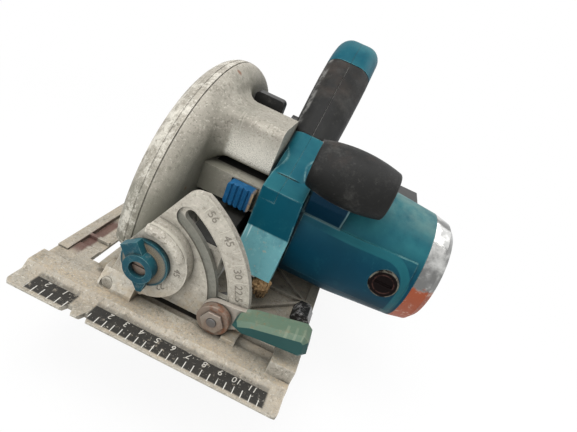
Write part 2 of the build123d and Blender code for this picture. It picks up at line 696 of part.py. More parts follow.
def angle_bracket():
    """Bracket that tilts behind the quadrant and carries the depth hinge between two ears."""
    plate = capsule((BEVEL_X, BEVEL_Z), EYE_R, BEVEL_BOLT, EYE_R)
    middle = Pos((EAR_X[0] + EAR_X[1]) / 2, (BEVEL_Z - EYE_R + DEPTH_Z + EAR_R) / 2)
    plate += middle * Rectangle(EAR_X[1] - EAR_X[0], DEPTH_Z + EAR_R - BEVEL_Z + EYE_R)
    back = BRACKET_Y + BRACKET_T
    solid = slab_y(plate, (BRACKET_Y, back))
    ear = make_hull((Pos(DEPTH_Y, DEPTH_Z) * Circle(EAR_R)
                     + Pos(back + 1, BEVEL_Z + EYE_R) * Rectangle(2, 4 * EYE_R)).edges())
    for x in (EAR_X[0], EAR_X[1] - EAR_T):
        solid += slab_x(ear, (x, x + EAR_T))
    solid -= rod_x(DEPTH_PIN_R + SEAT, (EAR_X[0] - 1, EAR_X[1] + 1), DEPTH_Y, DEPTH_Z)
    solid -= rod_y(BEVEL_PIN_R + SEAT, (BRACKET_Y - 1, back + 1), BEVEL_X, BEVEL_Z)
    solid -= rod_y(BOLT_R + SEAT, (BRACKET_Y - 1, back + 1), *BEVEL_BOLT)
    return solid


def depth_pin():
    """Pin of the depth hinge, headed at both ends."""
    pin = rod_x(DEPTH_PIN_R, EAR_X, DEPTH_Y, DEPTH_Z)
    for x, way in ((EAR_X[0] - SEAT, -1), (EAR_X[1] + SEAT, 1)):
        pin += rod_x(DEPTH_PIN_R, (x - way * 2 * SEAT, x + way * DEPTH_HEAD_T), DEPTH_Y, DEPTH_Z)
        pin += rod_x(DEPTH_HEAD_R, (x, x + way * DEPTH_HEAD_T), DEPTH_Y, DEPTH_Z)
    return pin


def bevel_stack():
    """Y places of the bevel clamp's faces: lever, washer, nut and bolt tip."""
    lever = QUADRANT_Y - RUN
    washer = lever - LEVER_T - SEAT
    nut = washer - WASHER_T - SEAT
    return lever, washer, nut, nut - NUT_T - BOLT_TIP


def bevel_bolt():
    """Bolt of the bevel clamp, headed behind the bracket."""
    back = BRACKET_Y + BRACKET_T + SEAT
    shank = rod_y(BOLT_R, (bevel_stack()[3], back + 1), *BEVEL_BOLT)
    return shank + rod_y(BOLT_HEAD_R, (back, back + BOLT_HEAD_T), *BEVEL_BOLT)


def bevel_lever():
    """Steel tongue of the bevel lever."""
    face = bevel_stack()[0]
    lever = slab_y(capsule(BEVEL_BOLT, LEVER_HUB_R, LEVER_END, LEVER_END_R), (face - LEVER_T, face))
    return lever - rod_y(BOLT_R + SEAT, (face - LEVER_T - 1, face + 1), *BEVEL_BOLT)


def lever_grip():
    """Faceted plastic grip moulded over the end of the tongue."""
    grip = slab_y(polygon(LEVER_GRIP), LEVER_GRIP_Y)
    front = grip.faces().sort_by(Axis.Y)[0]
    grip = chamfer(front.edges(), LEVER_GRIP_BEVEL)
    face = bevel_stack()[0]
    tongue = capsule(BEVEL_BOLT, LEVER_HUB_R + SEAT, LEVER_END, LEVER_END_R + SEAT)
    grip -= slab_y(tongue, (face - LEVER_T - SEAT, face + SEAT))
    return grip - rod_y(WASHER_R + 1, (LEVER_GRIP_Y[0] - 1, face), *BEVEL_BOLT)


def bevel_washer():
    """Flat washer under the nut."""
    face = bevel_stack()[1]
    washer = rod_y(WASHER_R, (face - WASHER_T, face), *BEVEL_BOLT)
    return washer - rod_y(BOLT_R + SEAT, (face - WASHER_T - 1, face + 1), *BEVEL_BOLT)


def bevel_nut():
    """Hexagon nut of the bevel clamp."""
    face = bevel_stack()[2]
    nut = hexagon_y(NUT_HEX, (face - NUT_T, face), *BEVEL_BOLT)
    return nut - rod_y(BOLT_R + SEAT, (face - NUT_T - 1, face + 1), *BEVEL_BOLT)


def rear_angle_plate():
    """Rear plate that tilts on the rear pin and carries the depth guide."""
    outline = capsule((BEVEL_X, BEVEL_Z), EYE_R, (GUIDE_X + GUIDE_T - EYE_R, BEVEL_Z), EYE_R)
    span = (REAR_PLATE_Y, REAR_PLATE_Y + BRACKET_T)
    plate = slab_y(outline, span)
    return plate - rod_y(BEVEL_PIN_R + SEAT, (span[0] - 1, span[1] + 1), BEVEL_X, BEVEL_Z)


def depth_guide():
    """Arc plate about the depth hinge with its clamp slot and a foot to the rear plate."""
    centre = (DEPTH_Y, DEPTH_Z)
    band = arc_band(centre, GUIDE_R, GUIDE_W / 2, GUIDE_REST, GUIDE_REST + DEPTH_MAX)
    foot_y = (DEPTH_BOLT[0] - GUIDE_W / 2, REAR_PLATE_Y - SEAT)
    foot = Pos(sum(foot_y) / 2, sum(GUIDE_FOOT_Z) / 2)
    band += foot * Rectangle(foot_y[1] - foot_y[0], GUIDE_FOOT_Z[1] - GUIDE_FOOT_Z[0])
    span = (GUIDE_X, GUIDE_X + GUIDE_T)
    solid = slab_x(band, span)
    slot = arc_band(centre, GUIDE_R, BOLT_R + RUN, GUIDE_REST, GUIDE_REST + DEPTH_MAX)
    return solid - slab_x(slot, (span[0] - 1, span[1] + 1))


# Head: castings and drive


def guard_section(inset):
    """Half section of the upper guard as (x, radius), inset from its outer skin."""
    x0, x1 = GUARD_X[0] + inset, GUARD_X[1] - inset
    top = GUARD_R - inset
    left, right = GUARD_LEFT_ROUND - inset, GUARD_ROUND - inset
    return make_face([
        Line((x0, 0), (x0, top - left)),
        CenterArc((x0 + left, top - left), left, 90, 90),
        Line((x0 + left, top), (x1 - right, top)),
        CenterArc((x1 - right, top - right), right, 0, 90),
        Polyline((x1, top - right), (x1, 0), (x0, 0)),
    ])


def gear_case(inset):
    """Outline round the gear pair, in (Y, Z)."""
    return capsule((0, SPINDLE_Z), CASE_R - inset, (MOTOR_Y, MOTOR_Z), CASE_MOTOR_R - inset)


def at_neck_root(edge):
    """Whether an edge lies where the neck leaves the guard."""
    box = edge.bounding_box()
    near = GUARD_X[1] - NECK_ROUND < box.min.X and box.max.X < GUARD_X[1] + NECK_ROUND
    across = NECK_Y[0] - 1 < box.min.Y and box.max.Y < NECK_Y[1] + 1
    return near and across and NECK_Z[0] - 1 < box.min.Z and box.max.Z < NECK_Z[1] + 1


def blade_case():
    """One casting: upper guard, gear case, neck, hinge lug and clamp arm."""
    place = Pos(0, GUARD_Y, GUARD_Z)
    guard = place * revolve(guard_section(0), Axis.X)
    for x in GUARD_SEAMS:
        guard -= ring_x(GUARD_R + 1, GUARD_R - SEAM_D, (x - SEAM_W / 2, x + SEAM_W / 2), GUARD_Y, GUARD_Z)
    hollow = place * revolve(guard_section(GUARD_WALL), Axis.X)
    hollow += rod_x(GUARD_EYE_R, (GUARD_X[0] - 1, 0), 0, SPINDLE_Z)
    reach = GUARD_R + 1
    span = (GUARD_Y - reach, GUARD_Y + reach)
    above = block((GUARD_X[0] - 1, GUARD_X[1] + 1), span, (GUARD_FOOT_Z, GUARD_Z + reach))
    neck = block((GUARD_X[1] - NECK_ROUND, NECK_X1), NECK_Y, NECK_Z)
    neck = fillet(neck.edges().filter_by(Axis.X), NECK_ROUND)
    shell = (guard & above) + neck
    shell = fillet([edge for edge in shell.edges() if at_neck_root(edge)], NECK_FLARE) - hollow
    wall = (GUARD_X[1] - GUARD_WALL, MOTOR_X0)
    case = slab_x(gear_case(0), wall)
    case += rod_x(BOSS_R, (BOSS_X0, GUARD_X[1]), 0, SPINDLE_Z)
    web_y = (NECK_Y[0] + NECK_BACK, NECK_Y[1] - NECK_ROUND)
    web = block((GUARD_X[1] - 1, NECK_X1), web_y, (MOTOR_Z, NECK_Z[0] + NECK_ROUND))
    button = block((GUARD_X[1] - 1, NECK_X1), (BUTTON_BLOCK_Y, MOTOR_Y), BUTTON_BLOCK_Z)
    lug_x = (EAR_X[0] + EAR_T + RUN, EAR_X[1] - EAR_T - RUN)
    lug = slab_x(capsule((DEPTH_Y, DEPTH_Z), LUG_R, LUG_ROOT, LUG_ROOT_R), lug_x)
    arm = slab_x(capsule(ARM_ROOT, ARM_ROOT_R, DEPTH_BOLT, ARM_END_R), ARM_X)
    solid = shell + case + web + button + lug + arm
    solid -= slab_x(gear_case(CASE_WALL), (GUARD_X[1] + CASE_WALL, MOTOR_X0 + 1))
    solid -= rod_x(FRONT_BEARING_R + SEAT, (BEARING_X0, GUARD_X[1] + CASE_WALL + 1), 0, SPINDLE_Z)
    solid -= rod_x(INNER_HUB_R + RUN, (BOSS_X0 - 1, BEARING_X0 + 1), 0, SPINDLE_Z)
    solid -= rod_x(DEPTH_PIN_R + RUN, (lug_x[0] - 1, lug_x[1] + 1), DEPTH_Y, DEPTH_Z)
    solid -= rod_x(BOLT_R + SEAT, (ARM_X[0] - 1, ARM_X[1] + 1), *DEPTH_BOLT)
    pocket_y = (BUTTON_BLOCK_Y - LOCK_PROUD, BUTTON_BLOCK_Y + LOCK_DEEP + LOCK_TRAVEL + RUN)
    pocket_x = (LOCK_X[0] - RUN, LOCK_X[1] + RUN)
    return solid - block(pocket_x, pocket_y, (LOCK_Z[0] - RUN, LOCK_Z[1] + RUN))


def ball_bearing(outer, inner, x, y, z):
    """A sealed ball bearing: a ring with a shallow groove in both faces."""
    ring = ring_x(outer, inner, x, y, z)
    groove = (0.45 * inner + 0.55 * outer, 0.7 * inner + 0.3 * outer)
    for end, way in ((x[0], 1), (x[1], -1)):
        ring -= ring_x(groove[0], groove[1], (end - way, end + 0.6 * way), y, z)
    return ring


def spindle():
    """Stepped spindle with a threaded hole for the blade bolt."""
    start = -BLADE_T / 2
    solid = rod_x(SPINDLE_R, (start, REAR_BEARING_X1 - SEAT), 0, SPINDLE_Z)
    return solid - rod_x(BLADE_BOLT_R + SEAT, (start - 1, start + BLADE_BOLT_IN + 1), 0, SPINDLE_Z)


def drive_gear():
    """Large gear on the spindle, with a gap towards the pinion."""
    to_pinion = math.degrees(math.atan2(MOTOR_Z - SPINDLE_Z, MOTOR_Y))
    outline = toothed(GEAR_TEETH, to_pinion + 180 / GEAR_TEETH)
    gear = slab_x(Pos(0, SPINDLE_Z) * outline, GEAR_X)
    gear += rod_x(GEAR_HUB_R, (BEARING_X0 + FRONT_BEARING_T + SEAT, GEAR_X[1]), 0, SPINDLE_Z)
    return gear - rod_x(SPINDLE_R + SEAT, (0, MOTOR_X0), 0, SPINDLE_Z)


def inner_flange():
    """Inner blade flange with the arbor pilot and a hub up to the bearing."""
    face = BLADE_T / 2 + SEAT
    flange = rod_x(INNER_FLANGE_R, (face, face + INNER_FLANGE_T), 0, SPINDLE_Z)
    flange += rod_x(INNER_HUB_R, (face, BEARING_X0 - SEAT), 0, SPINDLE_Z)
    flange += rod_x(ARBOR_R - SEAT, (-BLADE_T / 2, face + 1), 0, SPINDLE_Z)
    return flange - rod_x(SPINDLE_R + SEAT, (-BLADE_T, BEARING_X0 + 1), 0, SPINDLE_Z)


def blade():
    """Toothed blade disc."""
    disc = slab_x(Pos(0, SPINDLE_Z) * saw_outline(), (-BLADE_T / 2, BLADE_T / 2))
    return disc - rod_x(ARBOR_R, (-BLADE_T, BLADE_T), 0, SPINDLE_Z)


def outer_flange():
    """Outer blade flange, dished under the bolt head."""
    face = -BLADE_T / 2 - SEAT
    span = (face - OUTER_FLANGE_T, face)
    flange = rod_x(OUTER_FLANGE_R, span, 0, SPINDLE_Z)
    flange = chamfer(flange.faces().sort_by(Axis.X)[0].edges(), OUTER_FLANGE_BEVEL)
    return flange - rod_x(BLADE_BOLT_R + SEAT, (span[0] - 1, span[1] + 1), 0, SPINDLE_Z)


def blade_bolt():
    """Hexagon bolt that holds the blade."""
    seat = -BLADE_T / 2 - OUTER_FLANGE_T - 2 * SEAT
    bolt = rod_x(BLADE_BOLT_R, (seat - 1, -BLADE_T / 2 + BLADE_BOLT_IN), 0, SPINDLE_Z)
    head = Pos(0, SPINDLE_Z) * RegularPolygon(BLADE_BOLT_HEX / math.sqrt(3), 6)
    return bolt + slab_x(head, (seat - BLADE_BOLT_HEAD, seat))


def polar(radius, angle):
    """The (y, z) place at a radius and an angle in degrees about the spindle."""
    turn = math.radians(angle)
    return (radius * math.cos(turn), SPINDLE_Z + radius * math.sin(turn))


def lower_guard():
    """Sprung guard round the lower half of the blade, turning on the bearing boss."""
    x0, x1 = LOWER_X

    def section(inset):
        left, right, top = x0 + inset, x1 - inset, LOWER_R - inset
        corner = LOWER_ROUND - inset
        return make_face([
            Line((left, 0), (left, top - corner)),
            CenterArc((left + corner, top - corner), corner, 90, 90),
            Line((left + corner, top), (right - corner, top)),
            CenterArc((right - corner, top - corner), corner, 0, 90),
            Polyline((right, top - corner), (right, 0), (left, 0)),
        ])

    place = Pos(0, 0, SPINDLE_Z)
    shell = place * revolve(section(0), Axis.X) - place * revolve(section(LOWER_WALL), Axis.X)
    shell -= rod_x(LOWER_LEFT_R, (x0 - 1, 0), 0, SPINDLE_Z)
    reach = 2 * LOWER_R
    rim = [polar(0, 0)]
    for angle in (LOWER_ARC[0], -135, -90, -45, LOWER_ARC[1]):
        rim.append(polar(reach, angle))
    sector = slab_x(polygon(rim), (x0 - 1, x1 + 1))
    solid = shell & sector
    solid += rod_x(BOSS_R + RUN + LOWER_HUB_W, (x1 - LOWER_WALL, x1), 0, SPINDLE_Z)
    knob = polar(LOWER_KNOB_AT, LOWER_KNOB_ANGLE)
    root = polar(LOWER_LEFT_R + LOWER_TAB_R, LOWER_ARC[1] - LOWER_TAB_R)
    solid += slab_x(capsule(root, LOWER_TAB_R, knob, LOWER_KNOB_R), (x0, x0 + LOWER_WALL))
    solid += rod_x(LOWER_KNOB_R, (LOWER_KNOB_X, x0 + LOWER_WALL), *knob)
    return solid - rod_x(BOSS_R + RUN, (x1 - LOWER_WALL - 1, x1 + 1), 0, SPINDLE_Z)


def motor_housing():
    """Moulded motor shell with its front flange, bearing seats, brush holes and grip pedestal."""
    flange = (MOTOR_X0, MOTOR_X0 + MOTOR_FLANGE_T)
    solid = motor_skin(0) + slab_x(motor_flange(0), flange)
    plateau = motor_skin(PLATEAU_PROUD)
    plateau &= block(PLATEAU_X, (MOTOR_Y - 2 * MOTOR_R, MOTOR_Y), (MOTOR_Z - MOTOR_R / 2, PLATEAU_Z))
    solid += plateau
    front, back = GRIP_Y - PEDESTAL_Y, GRIP_Y + PEDESTAL_Y
    stem = [(front, GRIP_Z), (front, PEDESTAL_FRONT_Z), PEDESTAL_TOE, (MOTOR_Y, PEDESTAL_TOE[1]),
            (back, PEDESTAL_FRONT_Z), (back, GRIP_Z)]
    solid += slab_x(polygon(stem), PEDESTAL_X)
    core = (GRIP_X[0] + GRIP_WALL_X, GRIP_X[1] - GRIP_WALL_X)
    solid += rod_x(GRIP_CORE_R, core, GRIP_Y, GRIP_Z)
    inner = MOTOR_R - MOTOR_WALL
    bore = [(flange[1], 0), (flange[1], inner), (MOTOR_TAPER_X, inner),
            (MOTOR_X1 + 1, MOTOR_END_R - MOTOR_WALL),
            (MOTOR_X1 + 1, 0)]
    solid -= turned(bore, MOTOR_Y, MOTOR_Z)
    solid += slab_x(motor_flange(0), flange)
    solid -= rod_x(SHAFT_BEARING_R + SEAT, (flange[0] - 1, flange[1] + 1), MOTOR_Y, MOTOR_Z)
    solid -= rod_x(REAR_BEARING_R + SEAT, (flange[0] - 1, REAR_BEARING_X1), 0, SPINDLE_Z)
    sleeve_r = (BRUSH_W / 2 + BRUSH_SLEEVE) * math.sqrt(2) + SEAT
    solid -= rod_y(sleeve_r, (MOTOR_Y - MOTOR_R, MOTOR_Y + MOTOR_R), BRUSH_X, MOTOR_Z)
    hole = MOTOR_R + BRUSH_CAP_T
    well = (hole - 2 * BRUSH_CAP_T, 2 * hole)
    solid -= rod_y(BRUSH_CAP_R + SEAT, (MOTOR_Y - well[1], MOTOR_Y - well[0]), BRUSH_X, MOTOR_Z)
    solid -= rod_y(BRUSH_CAP_R + SEAT, (MOTOR_Y + well[0], MOTOR_Y + well[1]), BRUSH_X, MOTOR_Z)
    return solid


def motor_cap():
    """Bright cup that closes the motor and seats the rear bearing of its shaft."""
    edge = CAP_X1 - CAP_ROUND
    outer = [(MOTOR_X1 + SEAT, 0), (MOTOR_X1 + SEAT, MOTOR_END_R), (edge, CAP_R), (CAP_X1, CAP_R - CAP_ROUND),
             (CAP_X1, CAP_DISH_R), (CAP_X1 - CAP_DISH, CAP_DISH_R - CAP_DISH), (CAP_X1 - CAP_DISH, 0)]
    floor = CAP_X1 - CAP_DISH - MOTOR_WALL
    hollow = [(MOTOR_X1 - 1, SHAFT_BEARING_R + MOTOR_WALL), (MOTOR_X1 - 1, MOTOR_END_R - MOTOR_WALL),
              (floor, CAP_R - MOTOR_WALL), (floor, SHAFT_BEARING_R + MOTOR_WALL)]
    cap = turned(outer, MOTOR_Y, MOTOR_Z) - turned(hollow, MOTOR_Y, MOTOR_Z)
    cap -= rod_x(SHAFT_BEARING_R + SEAT, (MOTOR_X1 - 1, CAP_BEARING_X + SHAFT_BEARING_T), MOTOR_Y, MOTOR_Z)
    for y, z in cap_screw_spots():
        cap += rod_x(SCREW_HEAD_R, (MOTOR_X1 + SEAT, floor + 1), y, z)
        cap -= rod_x(SCREW_R + SEAT, (MOTOR_X1 - 1, CAP_X1 + 1), y, z)
        cap -= rod_x(SCREW_HEAD_R + SEAT, (CAP_X1 - CAP_DISH, CAP_X1 + 1), y, z)
    return cap


def cap_screw_spots():
    """Places (y, z) of the three screws that hold the motor cap."""
    reach = (CAP_DISH_R + CAP_R - CAP_ROUND) / 2 + 1
    angles = [math.radians(turn) for turn in CAP_SCREW_ANGLES]
    return [(MOTOR_Y + reach * math.cos(angle), MOTOR_Z + reach * math.sin(angle)) for angle in angles]


def cap_screws():
    """Three slotted screws through the motor cap."""
    head_x = (CAP_X1 - CAP_DISH + SEAT, CAP_X1 - 0.5)
    group = []
    for y, z in cap_screw_spots():
        screw = rod_x(SCREW_R, (MOTOR_X1 + 1, head_x[1]), y, z) + rod_x(SCREW_HEAD_R, head_x, y, z)
        group.append(screw - block((head_x[1] - 1, CAP_X1), (y - 5, y + 5), (z - 0.5, z + 0.5)))
    return Compound(children=group)


def stator_yoke():
    """Steel yoke round the magnets."""
    return ring_x(YOKE_R, MAGNET_R, YOKE_X, MOTOR_Y, MOTOR_Z)


def magnets():
    """Two magnet segments above and below the armature."""
    inner = ARMATURE_R + AIR_GAP
    ring = ring_x(MAGNET_R - SEAT, inner, YOKE_X, MOTOR_Y, MOTOR_Z)
    reach = 2 * MAGNET_R
    group = []
    for way in (-1, 1):
        half_z = (MOTOR_Z + way * MAGNET_SPLIT, MOTOR_Z + way * reach)
        half = block(YOKE_X, (MOTOR_Y - reach, MOTOR_Y + reach), half_z)
        group.append((ring & half).solids()[0])
    return Compound(children=group)


def armature_shaft():
    """Motor shaft with the pinion cut on its front end."""
    to_gear = math.degrees(math.atan2(SPINDLE_Z - MOTOR_Z, -MOTOR_Y))
    pinion_x = (GEAR_X[0] - GEAR_SIDE, GEAR_X[1] + GEAR_SIDE)
    shaft = slab_x(Pos(MOTOR_Y, MOTOR_Z) * toothed(PINION_TEETH, to_gear), pinion_x)
    return shaft + rod_x(SHAFT_R, (GEAR_X[1], CAP_BEARING_X + SHAFT_BEARING_T - SEAT), MOTOR_Y, MOTOR_Z)


def armature_core():
    """Slotted lamination stack of the armature."""
    core = Pos(MOTOR_Y, MOTOR_Z) * Circle(ARMATURE_R)
    for slot in range(ARMATURE_SLOTS):
        turn = Pos(MOTOR_Y, MOTOR_Z) * Rot(0, 0, slot * 360 / ARMATURE_SLOTS)
        core -= turn * Pos(ARMATURE_R, 0) * Rectangle(2 * ARMATURE_SLOT_D, ARMATURE_SLOT_W)
    core -= Pos(MOTOR_Y, MOTOR_Z) * Circle(SHAFT_R + SEAT)
    return slab_x(core, ARMATURE_X)


def fan():
    """Cooling fan with straight blades in front of its plate."""
    plate = (FAN_X[1] - FAN_PLATE_T, FAN_X[1])
    wheel = Pos(MOTOR_Y, MOTOR_Z) * Circle(FAN_R / 4)
    for number in range(FAN_BLADES):
        turn = Pos(MOTOR_Y, MOTOR_Z) * Rot(0, 0, number * 360 / FAN_BLADES)
        wheel += turn * Pos(FAN_R * 0.6, 0) * Rectangle(FAN_R * 0.8, FAN_BLADE_T)
    solid = slab_x(wheel, FAN_X) + rod_x(FAN_R, plate, MOTOR_Y, MOTOR_Z)
    return solid - rod_x(SHAFT_R + SEAT, (FAN_X[0] - 1, FAN_X[1] + 1), MOTOR_Y, MOTOR_Z)


def shaft_bearings():
    """Front and rear bearings of the motor shaft."""
    front = (MOTOR_X0 + SEAT, MOTOR_X0 + SHAFT_BEARING_T)
    rear = (CAP_BEARING_X, CAP_BEARING_X + SHAFT_BEARING_T - SEAT)
    return Compound(children=[ball_bearing(SHAFT_BEARING_R, SHAFT_R + SEAT, span, MOTOR_Y, MOTOR_Z)
                              for span in (front, rear)])


def brush_parts(kind):
    """The two carbon brushes, their sleeves or their screw caps, front and rear."""
    half = BRUSH_W / 2
    sleeve = half + BRUSH_SLEEVE
    group = []
    for way in (-1, 1):
        def along(inner, outer):
            return (MOTOR_Y + way * inner, MOTOR_Y + way * outer)

        x = (BRUSH_X - half, BRUSH_X + half)
        z = (MOTOR_Z - half, MOTOR_Z + half)
        carbon = block(x, along(COMMUTATOR_R + RUN, BRUSH_CAP_IN - BRUSH_SPRING), z)
        if kind == "brushes":
            group.append(carbon)
        elif kind == "sleeves":
            tube_y = along(COMMUTATOR_R + BRUSH_BARE, BRUSH_CAP_IN - SEAT)
            tube = block((BRUSH_X - sleeve, BRUSH_X + sleeve), tube_y, (MOTOR_Z - sleeve, MOTOR_Z + sleeve))
            room = block((x[0] - SEAT, x[1] + SEAT), along(0, MOTOR_R), (z[0] - SEAT, z[1] + SEAT))
            group.append(tube - room)
        else:
            top = BRUSH_CAP_IN + BRUSH_CAP_T
            cap = rod_y(BRUSH_CAP_R, along(BRUSH_CAP_IN, top), BRUSH_X, MOTOR_Z)
            slot_x = (BRUSH_X - BRUSH_CAP_R * 0.6, BRUSH_X + BRUSH_CAP_R * 0.6)
            slot_z = (MOTOR_Z - BRUSH_SLOT_W / 2, MOTOR_Z + BRUSH_SLOT_W / 2)
            group.append(cap - block(slot_x, along(top - BRUSH_SLOT_D, top + 1), slot_z))
    return Compound(children=group)


def shaft_lock():
    """Ribbed push button of the shaft lock."""
    front = BUTTON_BLOCK_Y - LOCK_PROUD
    button = block(LOCK_X, (front, BUTTON_BLOCK_Y + LOCK_DEEP), LOCK_Z)
    button = fillet(button.edges().filter_by(Axis.Y), LOCK_ROUND)
    step = (LOCK_X[1] - LOCK_X[0]) / LOCK_RIBS
    for rib in range(1, LOCK_RIBS):
        x = LOCK_X[0] + rib * step
        button -= block((x - LOCK_GROOVE / 2, x + LOCK_GROOVE / 2), (front - 1, front + LOCK_GROOVE), LOCK_Z)
    return button


def depth_bolt():
    """Bolt of the depth clamp, headed outside the guide."""
    outside = GUIDE_X + GUIDE_T + SEAT
    shank = rod_x(BOLT_R, (DEPTH_HUB_X[0], outside + 1), *DEPTH_BOLT)
    return shank + rod_x(BOLT_HEAD_R, (outside, outside + BOLT_HEAD_T), *DEPTH_BOLT)


def depth_lever():
    """Steel depth lever with its threaded hub."""
    foot = ((PAD_Y[0] + PAD_Y[1]) / 2, PAD_Z[0] + DEPTH_BAR_IN)
    bar_x = (DEPTH_HUB_X[0], DEPTH_HUB_X[0] + DEPTH_BAR_T)
    lever = slab_x(capsule(DEPTH_BOLT, DEPTH_BAR_W / 2, foot, DEPTH_BAR_W / 2 - DEPTH_BAR_TAPER), bar_x)
    lever += rod_x(DEPTH_HUB_R, DEPTH_HUB_X, *DEPTH_BOLT)
    return lever - rod_x(BOLT_R + SEAT, (DEPTH_HUB_X[0] - 1, DEPTH_HUB_X[1] + 1), *DEPTH_BOLT)


def depth_pad():
    """Plastic thumb pad over the end of the depth lever."""
    pad = block(PAD_X, PAD_Y, PAD_Z)
    pad = fillet(pad.edges().filter_by(Axis.Y), PAD_ROUND)
    foot = ((PAD_Y[0] + PAD_Y[1]) / 2, PAD_Z[0] + DEPTH_BAR_IN)
    bar_x = (DEPTH_HUB_X[0] - SEAT, DEPTH_HUB_X[0] + DEPTH_BAR_T + SEAT)
    bar = capsule(DEPTH_BOLT, DEPTH_BAR_W / 2 + SEAT, foot, DEPTH_BAR_W / 2 - DEPTH_BAR_TAPER + SEAT)
    return pad - slab_x(bar, bar_x)


# Handle


def handle_plane(y, z, lean):
    """Plane across the handle: local x is X, local y its underside, local z along it."""
    turn = math.radians(lean)
    return Plane(origin=(HANDLE_X, y, z), x_dir=(1, 0, 0), z_dir=(0, math.cos(turn), math.sin(turn)))


def on_grip(shape):
    """Place a shape drawn in the local frame of the rubber grip's front end."""
    return handle_plane(*HANDLE_SECTIONS[1][:3]) * shape


def handle_section(place):
    """Section values at a place between the listed sections, on a smooth curve through them."""
    last = len(HANDLE_SECTIONS) - 1
    start = min(int(place), last - 1)
    share = place - start
    near = [HANDLE_SECTIONS[max(0, min(last, start + step))] for step in (-1, 0, 1, 2)]
    values = []
    for before, here, after, beyond in zip(*near):
        slope_in, slope_out = (after - before) / 2, (beyond - here) / 2
        rise = after - here
        bend = 3 * rise - 2 * slope_in - slope_out
        swing = slope_in + slope_out - 2 * rise
        values.append(here + slope_in * share + bend * share ** 2 + swing * share ** 3)
    return values


def handle_form(inset):
    """The whole handle as one lofted form, drawn in by inset."""
    sections = []
    for step in range((len(HANDLE_SECTIONS) - 1) * HANDLE_STEPS + 1):
        y, z, lean, width, height = handle_section(step / HANDLE_STEPS)
        corner = HANDLE_ROUND * min(width, height) - inset
        shape = RectangleRounded(width - 2 * inset, height - 2 * inset, corner)
        sections.append(handle_plane(y, z, lean) * shape)
    return loft(sections, ruled=True)


def rubber_zone():
    """The stretch of the handle under the rubber."""
    width, height = HANDLE_SECTIONS[1][3:]
    return on_grip(Pos(0, 0, RUBBER_L / 2) * Box(2 * width, 2 * height, RUBBER_L))


def trigger_block(gap):
    """The trigger's envelope, grown by gap."""
    depth = HANDLE_SECTIONS[2][4] / 2 + TRIGGER_PROUD
    size = (TRIGGER_W + 2 * gap, depth - TRIGGER_IN + gap, TRIGGER_L + 2 * gap)
    return Pos(0, (depth + TRIGGER_IN - gap) / 2, TRIGGER_AT) * Box(*size)


def trigger():
    """Finger trigger with a hollow for the finger."""
    depth = HANDLE_SECTIONS[2][4] / 2 + TRIGGER_PROUD
    centre = depth + TRIGGER_HOLLOW_R - TRIGGER_HOLLOW_D
    finger = Pos(0, centre, TRIGGER_AT + TRIGGER_HOLLOW_AT) * Rot(0, 90, 0)
    return on_grip(trigger_block(0) - finger * Cylinder(TRIGGER_HOLLOW_R, 2 * TRIGGER_W))


def switch():
    """Switch unit behind the trigger."""
    top = TRIGGER_IN - TRIGGER_TRAVEL - 2 * RUN
    return on_grip(Pos(0, top - SWITCH_H / 2, TRIGGER_AT) * Box(SWITCH_W, SWITCH_H, SWITCH_L))


def lockoff(gap):
    """Lock-off button through the left side of the grip, grown by gap."""
    side = HANDLE_SECTIONS[2][3] / 2
    span = (-side - LOCKOFF_PROUD - gap, -LOCKOFF_IN)
    rod = Rot(0, 90, 0) * Cylinder(LOCKOFF_R + gap, span[1] - span[0])
    return on_grip(Pos((span[0] + span[1]) / 2, 0, LOCKOFF_AT) * rod)


def handle_screws(gap):
    """Screws through the right half into the left half, grown by gap."""
    group = []
    for y, z in HANDLE_SCREWS:
        head = HANDLE_X + SCREW_L / 2
        shank = rod_x(SCREW_R + gap, (HANDLE_X - SCREW_L / 2 - gap, head + 1), y, z)
        reach = SCREW_HEAD_T if gap == 0 else SCREW_L
        group.append(shank + rod_x(SCREW_HEAD_R + gap, (head - gap, head + reach), y, z))
    return group


def skirt():
    """The handle's front skirt, which runs down before the motor."""
    side = polygon([(MOTOR_FRONT + behind, z) for behind, z in SKIRT_SIDE])
    side = slab_x(side, (MOTOR_X0, GRIP_X[1]))
    return side & slab_y(polygon(SKIRT_FRONT), (2 * DEPTH_Y, 0))


def handle_room():
    """Everything that the handle halves are cut round."""
    room = motor_skin(SEAT) + slab_x(motor_flange(SEAT), (MOTOR_X0 - 1, MOTOR_X0 + MOTOR_FLANGE_T + SEAT))
    room += block((0, NECK_X1 + SEAT), (2 * DEPTH_Y, NECK_Y[1] + SEAT), (0, NECK_Z[1] + SEAT))
    room += slab_x(gear_case(-SEAT), (0, MOTOR_X0))
    room += block((0, MOUNT_X[1]), (MOUNT_Y[0] - SEAT, MOUNT_Y[1] + SEAT), (0, MOUNT_Z + MOUNT_T + SEAT))
    room += on_grip(trigger_block(RUN)) + on_grip(Pos(0, -TRIGGER_TRAVEL, 0) * trigger_block(RUN))
    room += on_grip(Pos(0, TRIGGER_PROUD, 0) * trigger_block(RUN))
    top = TRIGGER_IN - TRIGGER_TRAVEL - 2 * RUN
    pocket = Box(SWITCH_W + 2 * SEAT, SWITCH_H + 2 * SEAT, SWITCH_L + 2 * SEAT)
    room += on_grip(Pos(0, top - SWITCH_H / 2, TRIGGER_AT) * pocket)
    room += lockoff(RUN) + Pos(LOCKOFF_TRAVEL, 0, 0) * lockoff(RUN)
    for screw in handle_screws(SEAT):
        room += screw
    return room


